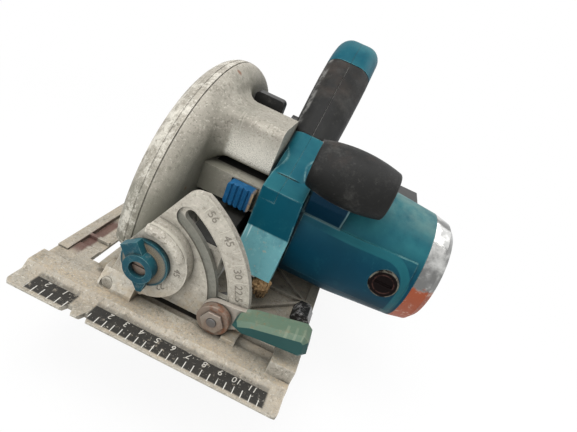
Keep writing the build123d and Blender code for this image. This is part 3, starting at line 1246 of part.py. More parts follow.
def handle_pieces():
    """Left half, right half, left rubber and right rubber."""
    form = handle_form(0)
    rubber = (form & rubber_zone()) - handle_form(RUBBER_T)
    core = form - rubber
    room = handle_room()
    far = 200.0
    left = block((HANDLE_X - far, HANDLE_X - SEAT / 2), (-far, far), (-far, 2 * far))
    right = block((HANDLE_X + SEAT / 2, HANDLE_X + far), (-far, far), (-far, 2 * far))
    lower = block((HANDLE_X - far, HANDLE_X + far), (-far, far), (-far, JOG_Z))
    body = core + skirt() - room
    skin = rubber - room
    halves = [(body & left) - lower, (body & right) + (body & lower)]
    skins = [skin & left, skin & right]
    return [largest(piece) for piece in halves + skins]


def largest(shape):
    """The main solid of a cut shape, without crumbs."""
    return shape.solids().sort_by(SortBy.VOLUME)[-1]


def front_grip():
    """Barrel grip of rubber round the pedestal's core."""
    middle = (GRIP_X[0] + GRIP_X[1]) / 2
    profile = make_face([
        ThreePointArc((GRIP_X[0], GRIP_END_R), (middle, GRIP_MID_R), (GRIP_X[1], GRIP_END_R)),
        Polyline((GRIP_X[1], GRIP_END_R), (GRIP_X[1], 0), (GRIP_X[0], 0), (GRIP_X[0], GRIP_END_R)),
    ])
    barrel = Pos(0, GRIP_Y, GRIP_Z) * revolve(profile, Axis.X)
    barrel = fillet(barrel.edges().filter_by(GeomType.CIRCLE), GRIP_ROUND)
    core = (GRIP_X[0] + GRIP_WALL_X - SEAT, GRIP_X[1] - GRIP_WALL_X + SEAT)
    barrel -= rod_x(GRIP_CORE_R + SEAT, core, GRIP_Y, GRIP_Z)
    stem_x = (PEDESTAL_X[0] - SEAT, PEDESTAL_X[1] + SEAT)
    stem_y = (GRIP_Y - PEDESTAL_Y - SEAT, GRIP_Y + PEDESTAL_Y + SEAT)
    return barrel - block(stem_x, stem_y, (MOTOR_Z, GRIP_Z))


# Battery


def rail_section(y, gap):
    """T section of one battery rail, grown by gap."""
    foot = MOUNT_Z - RAIL_H
    stem = Pos(y, MOUNT_Z - RAIL_H / 2) * Rectangle(RAIL_STEM + 2 * gap, RAIL_H + 2 * gap)
    return stem + Pos(y, foot + RAIL_LIP / 2) * Rectangle(RAIL_HEAD + 2 * gap, RAIL_LIP + 2 * gap)


def battery_mount():
    """Moulding behind the motor: a shelf with two T rails and a block against the motor."""
    back = BATTERY_Y[0] - RUN
    side = [(MOUNT_Y[0], MOUNT_Z + MOUNT_T), (MOUNT_Y[1], MOUNT_Z + MOUNT_T), (MOUNT_Y[1], MOUNT_Z),
            (back, MOUNT_Z), (back, MOUNT_FOOT_Z + MOUNT_FOOT_BEVEL), (back - MOUNT_FOOT_BEVEL, MOUNT_FOOT_Z),
            (MOUNT_Y[0], MOUNT_FOOT_Z)]
    mount = slab_x(polygon(side), MOUNT_X) - motor_skin(SEAT)
    for y in RAIL_AT:
        mount += slab_x(rail_section(y, 0), (MOUNT_X[0] + 2, MOUNT_X[1]))
    return mount


def terminals():
    """Contact blades under the shelf."""
    x = (BATTERY_X[0] + TERMINAL_X[0], BATTERY_X[0] + TERMINAL_X[1])
    z = (MOUNT_Z - TERMINAL_H, MOUNT_Z - SEAT)
    return Compound(children=[block(x, (y, y + TERMINAL_T), z) for y in TERMINAL_Y])


def battery_case():
    """Battery shell with rail grooves, contact slots and a button pocket."""
    case = block(BATTERY_X, BATTERY_Y, BATTERY_Z)
    case = fillet(case.edges().filter_by(Axis.X), BATTERY_ROUND)
    roof = BATTERY_Z[1] - RAIL_H - 2 * BATTERY_WALL
    wall = BATTERY_WALL
    case -= block((BATTERY_X[0] + wall, BATTERY_X[1] - 4 * wall), (BATTERY_Y[0] + wall, BATTERY_Y[1] - wall),
                  (BATTERY_Z[0] + wall, roof))
    groove = (BATTERY_X[0] - 1, MOUNT_X[1] + RUN)
    for y in RAIL_AT:
        case -= slab_x(rail_section(y, RUN), groove)
    for y in TERMINAL_Y:
        slot_y = (y - 2 * RUN, y + TERMINAL_T + 2 * RUN)
        slot_z = (MOUNT_Z - TERMINAL_H - RUN, MOUNT_Z + 1)
        slot_end = BATTERY_X[0] + TERMINAL_X[1] + TERMINAL_ROOM
        case -= block((BATTERY_X[0] - 1, slot_end), slot_y, slot_z)
    pocket = latch_box(RUN)
    return case - pocket - Pos(0, 0, -LATCH_TRAVEL) * pocket


def latch_box(gap):
    """Envelope of the release button in the battery's end, grown by gap."""
    y = sum(BATTERY_Y) / 2
    top = BATTERY_Z[1] - RAIL_H
    x = (BATTERY_X[1] - LATCH_IN - gap, BATTERY_X[1] + LATCH_PROUD)
    return block(x, (y - LATCH_W / 2 - gap, y + LATCH_W / 2 + gap), (top - LATCH_H - gap, top + gap))


def battery_latch():
    """Release button with three finger grooves."""
    button = latch_box(0)
    face = BATTERY_X[1] + LATCH_PROUD
    top = BATTERY_Z[1] - RAIL_H
    for row in (1, 2, 3):
        z = top - row * LATCH_H / 4
        groove_z = (z - LATCH_GROOVE_W / 2, z + LATCH_GROOVE_W / 2)
        button -= block((face - LATCH_GROOVE_D, face + 1), BATTERY_Y, groove_z)
    return button


def battery_cells():
    """Round cells lying across the battery."""
    floor = BATTERY_Z[0] + BATTERY_WALL + SEAT
    start = BATTERY_X[0] + BATTERY_WALL + SEAT
    span = (BATTERY_Y[0] + BATTERY_WALL + SEAT, BATTERY_Y[1] - BATTERY_WALL - SEAT)
    group = []
    for column in range(CELL_ROWS[0]):
        for row in range(CELL_ROWS[1]):
            x = start + CELL_R + column * (2 * CELL_R + SEAT)
            z = floor + CELL_R + row * (2 * CELL_R + SEAT)
            group.append(rod_y(CELL_R, span, x, z))
    return Compound(children=group)


pieces = {
    "base_plate": base_plate(),
    "bevel_quadrant": bevel_quadrant(),
    "quadrant_screws": Compound(children=[quadrant_screw(spot, SCREW_SUNK, 0) for spot in QUADRANT_SCREWS]),
    "bevel_pins": bevel_pins(),
    "stop_knob": stop_knob(),
    "stop_screw": stop_screw(),
    "fence_screw": fence_screw(),
    "angle_bracket": angle_bracket(),
    "depth_pin": depth_pin(),
    "bevel_bolt": bevel_bolt(),
    "bevel_lever": bevel_lever(),
    "lever_grip": lever_grip(),
    "bevel_washer": bevel_washer(),
    "bevel_nut": bevel_nut(),
    "rear_angle_plate": rear_angle_plate(),
    "depth_guide": depth_guide(),
    "blade_case": blade_case(),
    "front_bearing": ball_bearing(FRONT_BEARING_R, SPINDLE_R + SEAT,
                                  (BEARING_X0, BEARING_X0 + FRONT_BEARING_T), 0, SPINDLE_Z),
    "rear_bearing": ball_bearing(REAR_BEARING_R, SPINDLE_R + SEAT,
                                 (MOTOR_X0 + SEAT, REAR_BEARING_X1 - SEAT), 0, SPINDLE_Z),
    "spindle": spindle(),
    "drive_gear": drive_gear(),
    "inner_flange": inner_flange(),
    "blade": blade(),
    "outer_flange": outer_flange(),
    "blade_bolt": blade_bolt(),
    "lower_guard": lower_guard(),
    "motor_housing": motor_housing(),
    "motor_cap": motor_cap(),
    "cap_screws": cap_screws(),
    "stator_yoke": stator_yoke(),
    "magnets": magnets(),
    "armature_shaft": armature_shaft(),
    "armature_core": armature_core(),
    "commutator": ring_x(COMMUTATOR_R, SHAFT_R + SEAT, COMMUTATOR_X, MOTOR_Y, MOTOR_Z),
    "fan": fan(),
    "shaft_bearings": shaft_bearings(),
    "brush_sleeves": brush_parts("sleeves"),
    "brushes": brush_parts("brushes"),
    "brush_caps": brush_parts("caps"),
    "shaft_lock": shaft_lock(),
    "depth_bolt": depth_bolt(),
    "depth_lever": depth_lever(),
    "depth_pad": depth_pad(),
    "trigger": trigger(),
    "switch": switch(),
    "lockoff_button": lockoff(0),
    "handle_screws": Compound(children=handle_screws(0)),
    "front_grip": front_grip(),
    "battery_mount": battery_mount(),
    "terminals": terminals(),
    "battery_case": battery_case(),
    "battery_latch": battery_latch(),
    "battery_cells": battery_cells(),
}
handle_names = ("handle_left", "handle_right", "rubber_left", "rubber_right")
pieces.update(zip(handle_names, handle_pieces()))

for name, solid in pieces.items():
    save(name, solid)
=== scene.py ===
"""Looks of a worn cordless circular saw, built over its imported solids.

The scene is in metres in the solids' own frame: X to the motor side, Y to the rear, Z up from the sole.
Named sizes and places are in millimetres, unless their heading says otherwise.
"""
import json
import math

import bpy
from mathutils import Matrix, Vector


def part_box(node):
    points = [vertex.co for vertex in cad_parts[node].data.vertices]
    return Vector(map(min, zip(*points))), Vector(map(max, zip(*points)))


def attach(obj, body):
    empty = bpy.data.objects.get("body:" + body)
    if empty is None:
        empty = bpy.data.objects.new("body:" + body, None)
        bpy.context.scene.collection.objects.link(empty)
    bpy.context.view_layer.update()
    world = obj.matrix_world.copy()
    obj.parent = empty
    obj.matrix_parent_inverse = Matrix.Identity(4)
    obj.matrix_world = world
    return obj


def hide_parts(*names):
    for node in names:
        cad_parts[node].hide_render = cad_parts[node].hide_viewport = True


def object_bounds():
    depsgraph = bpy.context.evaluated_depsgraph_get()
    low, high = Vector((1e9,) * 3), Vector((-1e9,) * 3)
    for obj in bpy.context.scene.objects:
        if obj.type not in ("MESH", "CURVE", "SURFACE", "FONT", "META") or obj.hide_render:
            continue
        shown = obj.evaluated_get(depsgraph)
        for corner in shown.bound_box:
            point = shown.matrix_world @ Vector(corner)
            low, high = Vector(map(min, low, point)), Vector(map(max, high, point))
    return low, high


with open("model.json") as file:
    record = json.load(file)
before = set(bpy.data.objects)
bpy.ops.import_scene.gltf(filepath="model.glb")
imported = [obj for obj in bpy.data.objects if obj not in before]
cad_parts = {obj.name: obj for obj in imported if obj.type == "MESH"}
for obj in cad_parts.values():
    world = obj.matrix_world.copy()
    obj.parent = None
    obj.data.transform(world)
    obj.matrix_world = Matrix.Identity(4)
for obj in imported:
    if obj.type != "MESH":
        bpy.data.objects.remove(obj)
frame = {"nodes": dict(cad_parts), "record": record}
CAD_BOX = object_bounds()
MM = 0.001

# Camera of the photograph
CAMERA_AT = Vector((99.43, -303.48, 195.73)) * MM
CAMERA_PITCH = math.radians(27.21)
CAMERA_YAW = math.radians(-3.71)
CAMERA_ROLL = math.radians(24.02)
CAMERA_LENS = 26.27
SENSOR_WIDTH = 36.0
NEAREST_SEEN = 10.0

# Floor and light, in metres but for the drop and the shade's place; lamps by name, place, size and power
FLOOR_SIZE = 8.0
FLOOR_DROP = 0.4
FLOOR_COLOUR = (0.88, 0.88, 0.87)
SHADE_AT = (45.0, 5.0)
SHADE_RAMP = ((0.060, 0.0), (0.092, 0.90), (0.30, 0.94), (0.60, 1.0))
SKY_COLOUR = (0.95, 0.97, 1.0)
SKY_STRENGTH = 0.32
LAMPS = (("key", (-0.15, -0.30, 1.25), 0.8, 12.5), ("fill", (-0.35, -1.1, 0.6), 1.0, 8.5),
         ("rim", (0.8, 0.5, 0.9), 0.8, 5.5))
LAMPS_AIM = Vector((0.06, -0.03, 0.06))

# Places on the solids, in millimetres
SOLE_TOP = 3.5
BEVEL_PIVOT = (6.0, 12.0)
QUADRANT_FACE = -112.0
QUADRANT_CREST = ((34.5, 85.3), (43.6, 86.2))
BOSS_FACE = -121.0
STOP_CENTRE = (24.5, 37.0)
PARTING_X = 73.0
BRUSH_CAP_AT = (158.0, 57.25)
SPINDLE_AT = (0.0, 31.0)
WASHER_BACK = -115.8
NUT_FRONT = -122.7
BOLT_HEAD_Y = -102.0
BATTERY_SEAM_Z = 38.0

# Quadrant: rounding of its crest, and the web that reaches down to its feet
CREST_ROUND = 4.0
WEB_X = (22.0, 81.0)
WEB_Y = (-112.0, -107.0)
WEB_Z = (8.0, 11.6)

# Handle behind its grip: y, z and width along its middle line, from the end of the rubber to the mount
BEND_ROUTE = ((56.0, 147.0, 37.0), (84.0, 157.0, 36.0), (111.0, 143.0, 33.0), (118.0, 112.0, 29.0),
              (118.0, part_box("battery_mount")[1][2] / MM, 29.0))
BEND_ASPECT = 0.93
BEND_ROUND = 0.36
BEND_LEAD = 10.0
BEND_DROP = 12.0
BEND_STEPS = 16
BEND_EDGE = 0.8
FRONT_EDGE = 1.0
GRIP_LEAN = 41.0
RUBBER_END = (55.2, 147.7)
BEND_BACK = (80.0, 0.0)
BEND_SCREWS = ((92.0, 156.0), (118.0, 100.0))
SOCKET_R = 4.0
SOCKET_X = (81.0, 101.0)
SLEEVE_GRID = 0.9
SLEEVE_ROUNDS = 12
SEAM_WIDTH = 0.35
SEAM_DEPTH = 0.6

# Scales: numbers of the quadrant by distance and angle about its pivot, the rest by place
MARK_HEIGHT = 0.18
SCALE_NUMBERS = (("56", 78.3, 55.6), ("45", 78.8, 44.0), ("30", 77.8, 28.8), ("22.5", 77.0, 19.0))
SCALE_SIZE = 6.8
BOSS_NUMBERS = (("45", 43.1, 38.1), ("22", 35.8, 23.6), ("0", 24.4, 55.8))
BOSS_SIZE = 5.4
LINE_ANGLES = ((59.3, 75), (48.2, 75), (38.5, 79), (33.0, 75), (24.5, 75), (15.2, 75), (10.0, 79))
LINE_END = 83.0
LINE_WIDTH = 0.7
CENTIMETRE = 10.0
SOLE_NUMBER_Y = -138.2
LEFT_NUMBERS = (("1", -10.0, -137.7), ("2", -21.0, SOLE_NUMBER_Y))
SOLE_NUMBER_SIZE = 5.6
SOLE_NUMBER_SLANT = 0.15

# Ribs of the battery and its mount, by length and width
RIB_HEIGHT = 0.8
FINGER_RIBS = 6
FINGER_RIB = (15.0, 2.2)
FINGER_RIB_START = 9.0
FINGER_RIB_PITCH = 4.4
FINGER_RIB_Z = 28.0
MOUNT_RIB = (86.0, 2.4)
MOUNT_RIB_X = (102.0, 114.0, 126.0, 138.0)
MOUNT_RIB_Y = 76.0

# Rib round the stop boss, between two angles
BOSS_RIB_R = 20.6
BOSS_RIB_THICK = 3.4
BOSS_RIB_ENDS = (28.0, 102.0)
BOSS_RIB_ROUND = 2.2

# Clump of splinters: its displacements by texture, grain and strength
CLUMP_AT = (87.0, -79.5, 25.0)
CLUMP_R = 4.6
CLUMP_STRETCH = (1.2, 0.8, 1.9)
CLUMP_GRAINS = (("CLOUDS", 3.0, 3.0), ("STUCCI", 1.0, 1.6))

# Tolerances in millimetres, and the angle below which faces count as one flat
MERGE = 0.002
WELD = 0.01
SLIVER = 0.005
ON_PLANE = 0.02
ON_CORNER = 0.5
CORNER_RUN = 1.0
FLAT_DEGREES = 0.6

BODY_OF = {node: body for body, nodes in frame["record"]["behaviour"]["bodies"].items() for node in nodes}
SLOT_OF = {part["node"]: part["material_slot"] for part in frame["record"]["subparts"]}


def only(piece):
    """Select one object and make it the active one."""
    bpy.ops.object.select_all(action="DESELECT")
    piece.select_set(True)
    bpy.context.view_layer.objects.active = piece


def edit(piece, choose="SELECT"):
    """Enter edit mode on one piece with everything or nothing selected."""
    only(piece)
    bpy.ops.object.mode_set(mode="EDIT")
    bpy.ops.mesh.select_all(action=choose)


def leave_edit():
    """Go back to object mode."""
    bpy.ops.object.mode_set(mode="OBJECT")


def modify(piece, kind, **settings):
    """Add a modifier with the given settings and apply it."""
    only(piece)
    modifier = piece.modifiers.new(kind.title(), kind)
    for key, value in settings.items():
        setattr(modifier, key, value)
    bpy.ops.object.modifier_apply(modifier=modifier.name)


def combine(piece, tool, operation):
    """Add a tool to a piece or cut it out, and remove the tool."""
    modify(piece, "BOOLEAN", object=tool, operation=operation, solver="EXACT")
    only(tool)
    bpy.ops.object.delete()


def apply_place():
    """Move the selected object's place, turn and scale into its mesh."""
    bpy.ops.object.transform_apply(location=True, rotation=True, scale=True)


def place(piece, at, right, up):
    """Apply a place to a mesh: its X along right, its Y along up, its origin at a point in millimetres."""
    right = Vector(right).normalized()
    up = Vector(up).normalized()
    turn = Matrix((right, up, right.cross(up))).transposed().to_4x4()
    piece.matrix_world = Matrix.Translation(Vector(at) * MM) @ turn
    only(piece)
    apply_place()


def join(pieces, name):
    """Join pieces into one."""
    bpy.ops.object.select_all(action="DESELECT")
    for piece in pieces:
        piece.select_set(True)
    bpy.context.view_layer.objects.active = pieces[0]
    if len(pieces) > 1:
        bpy.ops.object.join()
    pieces[0].name = name
    return pieces[0]


def smooth(piece, degrees=35):
    """Shade a piece smooth, with its sharper edges kept and its large faces flat."""
    only(piece)
    bpy.ops.object.shade_smooth_by_angle(angle=math.radians(degrees))
    modify(piece, "WEIGHTED_NORMAL", keep_sharp=True)


def carry(piece, body, material):
    """Let a new piece ride on a body with its material."""
    piece.data.materials.clear()
    piece.data.materials.append(material)
    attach(piece, body)
    return piece


def copy_node(node, flat=True):
    """A merged copy of a solid's mesh, to be dressed in its place, its flat faces made whole if asked."""
    source = frame["nodes"][node]
    piece = source.copy()
    piece.data = source.data.copy()
    piece.name = node + "_dressed"
    piece.parent = None
    piece.matrix_world = Matrix.Identity(4)
    bpy.context.scene.collection.objects.link(piece)
    edit(piece)
    bpy.ops.mesh.remove_doubles(threshold=MERGE * MM)
    if flat:
        bpy.ops.mesh.dissolve_limited(angle_limit=math.radians(FLAT_DEGREES))
    leave_edit()
    return piece


def add_web(piece):
    """Grow the quadrant's web down to its feet, over the fence channel."""
    bpy.ops.object.select_all(action="DESELECT")
    bpy.ops.mesh.primitive_cube_add(size=1.0)
    web = bpy.context.object
    spans = (WEB_X, WEB_Y, WEB_Z)
    web.location = [sum(span) / 2 * MM for span in spans]
    web.scale = [(span[1] - span[0]) * MM for span in spans]
    apply_place()
    combine(piece, web, "UNION")
    edit(piece)
    bpy.ops.mesh.remove_doubles(threshold=WELD * MM)
    bpy.ops.mesh.dissolve_limited(angle_limit=math.radians(FLAT_DEGREES))
    leave_edit()


def round_corners(piece, spots, width, segments=6):
    """Round the edges that run along Y through the given (x, z) places, by a width in millimetres."""
    edit(piece, "DESELECT")
    bpy.ops.mesh.select_mode(type="EDGE")
    leave_edit()
    for edge in piece.data.edges:
        ends = [piece.data.vertices[index].co for index in edge.vertices]
        near = [any(math.hypot(end.x - x * MM, end.z - z * MM) < ON_CORNER * MM for x, z in spots)
                for end in ends]
        edge.select = all(near) and abs(ends[0].y - ends[1].y) > CORNER_RUN * MM
    bpy.ops.object.mode_set(mode="EDIT")
    bpy.ops.mesh.bevel(offset=width * MM, segments=segments, affect="EDGES", clamp_overlap=True)
    bpy.ops.mesh.select_mode(type="VERT")
    leave_edit()


def shape_quadrant(piece):
    """Give the quadrant its web and round its crest."""
    add_web(piece)
    round_corners(piece, QUADRANT_CREST, CREST_ROUND)


def shorten(piece, seat, share):
    """Stretch or draw in a piece along Y by a share, from a seat in millimetres that stays."""
    edit(piece)
    bpy.ops.transform.resize(value=(1, share, 1), center_override=(0, seat * MM, 0))
    leave_edit()


def seam(piece, at, normal):
    """Sink a fine groove where a plane cuts a piece."""
    at = Vector(at) * MM
    normal = Vector(normal)
    edit(piece)
    bpy.ops.mesh.select_mode(type="VERT")
    bpy.ops.mesh.bisect(plane_co=at, plane_no=normal)
    bpy.ops.mesh.bevel(offset=SEAM_WIDTH * MM, segments=2, affect="EDGES", clamp_overlap=False)
    leave_edit()
    chosen = {index for face in piece.data.polygons if face.select for index in face.vertices}
    edit(piece, "DESELECT")
    leave_edit()
    for index in chosen:
        vertex = piece.data.vertices[index]
        vertex.select = abs((vertex.co - at).dot(normal)) < ON_PLANE * MM
    bpy.ops.object.mode_set(mode="EDIT")
    bpy.ops.transform.shrink_fatten(value=-SEAM_DEPTH * MM)
    bpy.ops.mesh.select_all(action="SELECT")
    bpy.ops.mesh.dissolve_degenerate(threshold=SLIVER * MM)
    leave_edit()
    smooth(piece)


def round_edges(piece, width, segments=2, angle=28):
    """Round a piece's edges that are sharper than an angle, by a width in millimetres."""
    modify(piece, "BEVEL", width=width * MM, segments=segments, limit_method="ANGLE",
           angle_limit=math.radians(angle), use_clamp_overlap=True, miter_outer="MITER_ARC")
    edit(piece)
    bpy.ops.mesh.dissolve_degenerate(threshold=MERGE * MM)
    leave_edit()
    smooth(piece)


def dress(node, material, edge, segments=2, seat=None, share=1.0, shape=None, flat=True):
    """Replace a solid by a copy, shaped if asked, with rounded edges of the given width in millimetres."""
    piece = copy_node(node, flat)
    if shape is not None:
        shape(piece)
    if seat is not None:
        shorten(piece, seat, share)
    round_edges(piece, edge, segments)
    carry(piece, BODY_OF[node], material)
    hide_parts(node)
    return piece


def handle_front(node):
    """What a handle half has before its bend, cut off at the end of the rubber."""
    piece = copy_node(node)
    for at, lean in ((BEND_BACK, 0.0), (RUBBER_END, GRIP_LEAN)):
        turn = math.radians(lean)
        edit(piece)
        bpy.ops.mesh.bisect(plane_co=Vector((PARTING_X, *at)) * MM,
                            plane_no=(0, math.cos(turn), math.sin(turn)), use_fill=True, clear_outer=True)
        leave_edit()
    round_edges(piece, FRONT_EDGE)
    return piece


def bend_section():
    """The handle's section as a flat curve of unit width."""
    bpy.ops.object.select_all(action="DESELECT")
    bpy.ops.mesh.primitive_plane_add(size=1.0)
    piece = bpy.context.object
    piece.scale = (1.0, BEND_ASPECT, 1.0)
    apply_place()
    edit(piece)
    bpy.ops.mesh.bevel(offset=BEND_ROUND * BEND_ASPECT, segments=8, affect="VERTICES")
    bpy.ops.mesh.delete(type="ONLY_FACE")
    leave_edit()
    bpy.ops.object.convert(target="CURVE")
    return bpy.context.object


def bend_line():
    """The middle line of the bend, with the handle's width as its radius."""
    bpy.ops.object.select_all(action="DESELECT")
    bpy.ops.curve.primitive_bezier_curve_add()
    line = bpy.context.object
    spline = line.data.splines[0]
    spline.bezier_points.add(len(BEND_ROUTE) - len(spline.bezier_points))
    for point, (y, z, width) in zip(spline.bezier_points, BEND_ROUTE):
        point.co = Vector((PARTING_X, y, z)) * MM
        point.radius = width * MM
    bpy.ops.object.mode_set(mode="EDIT")
    bpy.ops.curve.select_all(action="SELECT")
    bpy.ops.curve.handle_type_set(type="AUTOMATIC")
    leave_edit()
    lean = math.radians(GRIP_LEAN)
    points = line.data.splines[0].bezier_points
    first, last = points[0], points[-1]
    first.handle_right_type = "FREE"
    last.handle_left_type = "FREE"
    first.handle_right = first.co + Vector((0, math.cos(lean), math.sin(lean))) * BEND_LEAD * MM
    last.handle_left = last.co + Vector((0, 0, BEND_DROP)) * MM
    return line


def sink_screws(piece):
    """Open the sockets that the screws of the bend sit in."""
    for y, z in BEND_SCREWS:
        bpy.ops.object.select_all(action="DESELECT")
        bpy.ops.mesh.primitive_cylinder_add(vertices=48, radius=SOCKET_R * MM,
                                            depth=(SOCKET_X[1] - SOCKET_X[0]) * MM)
        socket = bpy.context.object
        place(socket, (sum(SOCKET_X) / 2, y, z), (0, 1, 0), (0, 0, 1))
        combine(piece, socket, "DIFFERENCE")


def handle_bend():
    """The bend behind the rubber: the section swept along the middle line, with a parting groove."""
    section = bend_section()
    piece = bend_line()
    piece.data.dimensions = "3D"
    piece.data.resolution_u = BEND_STEPS
    piece.data.bevel_mode = "OBJECT"
    piece.data.bevel_object = section
    piece.data.use_fill_caps = True
    only(piece)
    bpy.ops.object.convert(target="MESH")
    only(section)
    bpy.ops.object.delete()
    edit(piece)
    bpy.ops.mesh.remove_doubles(threshold=WELD * MM)
    bpy.ops.mesh.normals_make_consistent(inside=False)
    leave_edit()
    sink_screws(piece)
    round_edges(piece, BEND_EDGE, angle=60)
    seam(piece, (PARTING_X, 0, 0), (1, 0, 0))
    return piece


def handle_shell():
    """The handle: crisp halves at its front and one smooth bend behind the rubber."""
    nodes = ("handle_left", "handle_right")
    piece = join([handle_bend(), *[handle_front(node) for node in nodes]], "handle_shell")
    carry(piece, BODY_OF[nodes[0]], HANDLE)
    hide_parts(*nodes)


def rubber_sleeve():
    """Both rubber halves as one smooth sleeve, with the groove of their parting line."""
    nodes = ("rubber_left", "rubber_right")
    piece = join([copy_node(node) for node in nodes], "rubber_sleeve")
    modify(piece, "REMESH", mode="VOXEL", voxel_size=SLEEVE_GRID * MM)
    modify(piece, "SMOOTH", factor=0.5, iterations=SLEEVE_ROUNDS)
    seam(piece, (PARTING_X, 0, 0), (1, 0, 0))
    carry(piece, BODY_OF[nodes[0]], SLEEVE)
    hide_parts(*nodes)


class Finish:
    """A node material on object coordinates, built up layer by layer."""

    def __init__(self, name, rough, metal=0.0, specular=0.5):
        self.material = bpy.data.materials.new(name)
        self.material.use_nodes = True
        self.tree = self.material.node_tree
        self.shader = self.tree.nodes["Principled BSDF"]
        self.shader.inputs["Roughness"].default_value = rough
        self.shader.inputs["Metallic"].default_value = metal
        self.shader.inputs["Specular IOR Level"].default_value = specular
        self.place = self.node("ShaderNodeTexCoord").outputs["Object"]
        self.colour = None

    def node(self, kind, **settings):
        """Add a node with the given settings."""
        node = self.tree.nodes.new(kind)
        for key, value in settings.items():
            setattr(node, key, value)
        return node

    def link(self, source, target):
        """Join an output to an input."""
        self.tree.links.new(source, target)

    def noise(self, scale, detail=4.0, rough=0.55, stretch=(1, 1, 1), turn=(0, 0, 0), offset=(0, 0, 0)):
        """Cloudy noise with a scale per metre, stretched and turned as asked."""
        mapping = self.node("ShaderNodeMapping")
        mapping.inputs["Scale"].default_value = stretch
        mapping.inputs["Rotation"].default_value = turn
        mapping.inputs["Location"].default_value = offset
        texture = self.node("ShaderNodeTexNoise")
        texture.inputs["Scale"].default_value = scale
        texture.inputs["Detail"].default_value = detail
        texture.inputs["Roughness"].default_value = rough
        self.link(self.place, mapping.inputs["Vector"])
        self.link(mapping.outputs["Vector"], texture.inputs["Vector"])
        return texture.outputs["Fac"]

    def scratches(self, scale, cut, turn, share=0.5):
        """Short thin lines along one direction, kept to some patches."""
        streak = self.noise(scale, 2.0, 0.5, (1, 0.03, 0.03), turn)
        return self.both(self.step(streak, cut, cut + 0.03), self.patches(share, share + 0.1, 30, 2))

    def away(self, centre, plane):
        """Distance in metres from an axis: plane names the two coordinates that count."""
        flat = self.node("ShaderNodeCombineXYZ")
        for letter in plane:
            self.link(self.axis(letter), flat.inputs[letter])
        measure = self.node("ShaderNodeVectorMath", operation="DISTANCE")
        spot = dict(zip(plane, centre))
        self.link(flat.outputs["Vector"], measure.inputs[0])
        measure.inputs[1].default_value = [spot.get(letter, 0.0) * MM for letter in "XYZ"]
        return measure.outputs["Value"]

    def rings(self, reach, scale):
        """Fine rings by the distance from an axis."""
        texture = self.node("ShaderNodeTexNoise", noise_dimensions="1D")
        texture.inputs["Scale"].default_value = scale
        texture.inputs["Detail"].default_value = 6.0
        self.link(reach, texture.inputs["W"])
        return texture.outputs["Fac"]

    def inside(self, letter, low, high, soft=0.3):
        """A mask of the places between two limits in millimetres along one axis."""
        value = self.axis(letter)
        start = self.step(value, (low - soft) * MM, (low + soft) * MM)
        return self.math("MULTIPLY", start, self.step(value, (high + soft) * MM, (high - soft) * MM))

    def both(self, *masks):
        """Where all the masks hold."""
        result = masks[0]
        for mask in masks[1:]:
            result = self.math("MULTIPLY", result, mask)
        return result

    def step(self, value, low, high):
        """A mask that rises from 0 at low to 1 at high, or falls if low is the larger."""
        ramp = self.node("ShaderNodeMapRange", interpolation_type="SMOOTHSTEP")
        ramp.inputs["From Min"].default_value = min(low, high)
        ramp.inputs["From Max"].default_value = max(low, high)
        ramp.inputs["To Min"].default_value = 0.0 if low < high else 1.0
        ramp.inputs["To Max"].default_value = 1.0 if low < high else 0.0
        self.link(value, ramp.inputs["Value"])
        return ramp.outputs["Result"]

    def math(self, operation, a, b, clamp=True):
        """Join two masks, or a mask and a number."""
        node = self.node("ShaderNodeMath", operation=operation, use_clamp=clamp)
        for slot, value in ((0, a), (1, b)):
            if isinstance(value, (int, float)):
                node.inputs[slot].default_value = value
            else:
                self.link(value, node.inputs[slot])
        return node.outputs["Value"]

    def axis(self, letter):
        """One coordinate in metres."""
        split = self.node("ShaderNodeSeparateXYZ")
        self.link(self.place, split.inputs["Vector"])
        return split.outputs[letter]

    def facing(self, letter):
        """One component of the surface normal."""
        source = self.node("ShaderNodeTexCoord")
        split = self.node("ShaderNodeSeparateXYZ")
        self.link(source.outputs["Normal"], split.inputs["Vector"])
        return split.outputs[letter]

    def patches(self, low, high, scale, detail=4.0, rough=0.55, stretch=(1, 1, 1), offset=(0, 0, 0)):
        """A mask of cloudy patches, where noise rises from low to high, or falls if low is the larger."""
        return self.step(self.noise(scale, detail, rough, stretch, offset=offset), low, high)

    def along(self, letter, low, high):
        """A mask that rises between two places in millimetres on one axis, or falls if low is the larger."""
        return self.step(self.axis(letter), low * MM, high * MM)

    def turned(self, letter, low, high):
        """A mask of faces by how far they look along one axis."""
        return self.step(self.facing(letter), low, high)

    def hollow(self, distance):
        """A mask of hollows and inner corners."""
        node = self.node("ShaderNodeAmbientOcclusion", samples=8)
        node.inputs["Distance"].default_value = distance * MM
        return self.step(node.outputs["AO"], 0.95, 0.35)

    def edges(self, distance):
        """A mask of the edges of a thin shell, where the normal turns within a distance."""
        soft = self.node("ShaderNodeBevel", samples=6)
        soft.inputs["Radius"].default_value = distance * MM
        true = self.node("ShaderNodeNewGeometry")
        turn = self.node("ShaderNodeVectorMath", operation="DOT_PRODUCT")
        self.link(soft.outputs["Normal"], turn.inputs[0])
        self.link(true.outputs["Normal"], turn.inputs[1])
        return self.step(turn.outputs["Value"], 0.985, 0.90)

    def ridge(self, distance):
        """A mask of outer edges."""
        node = self.node("ShaderNodeAmbientOcclusion", samples=8, inside=True)
        node.inputs["Distance"].default_value = distance * MM
        return self.step(node.outputs["AO"], 0.75, 0.3)

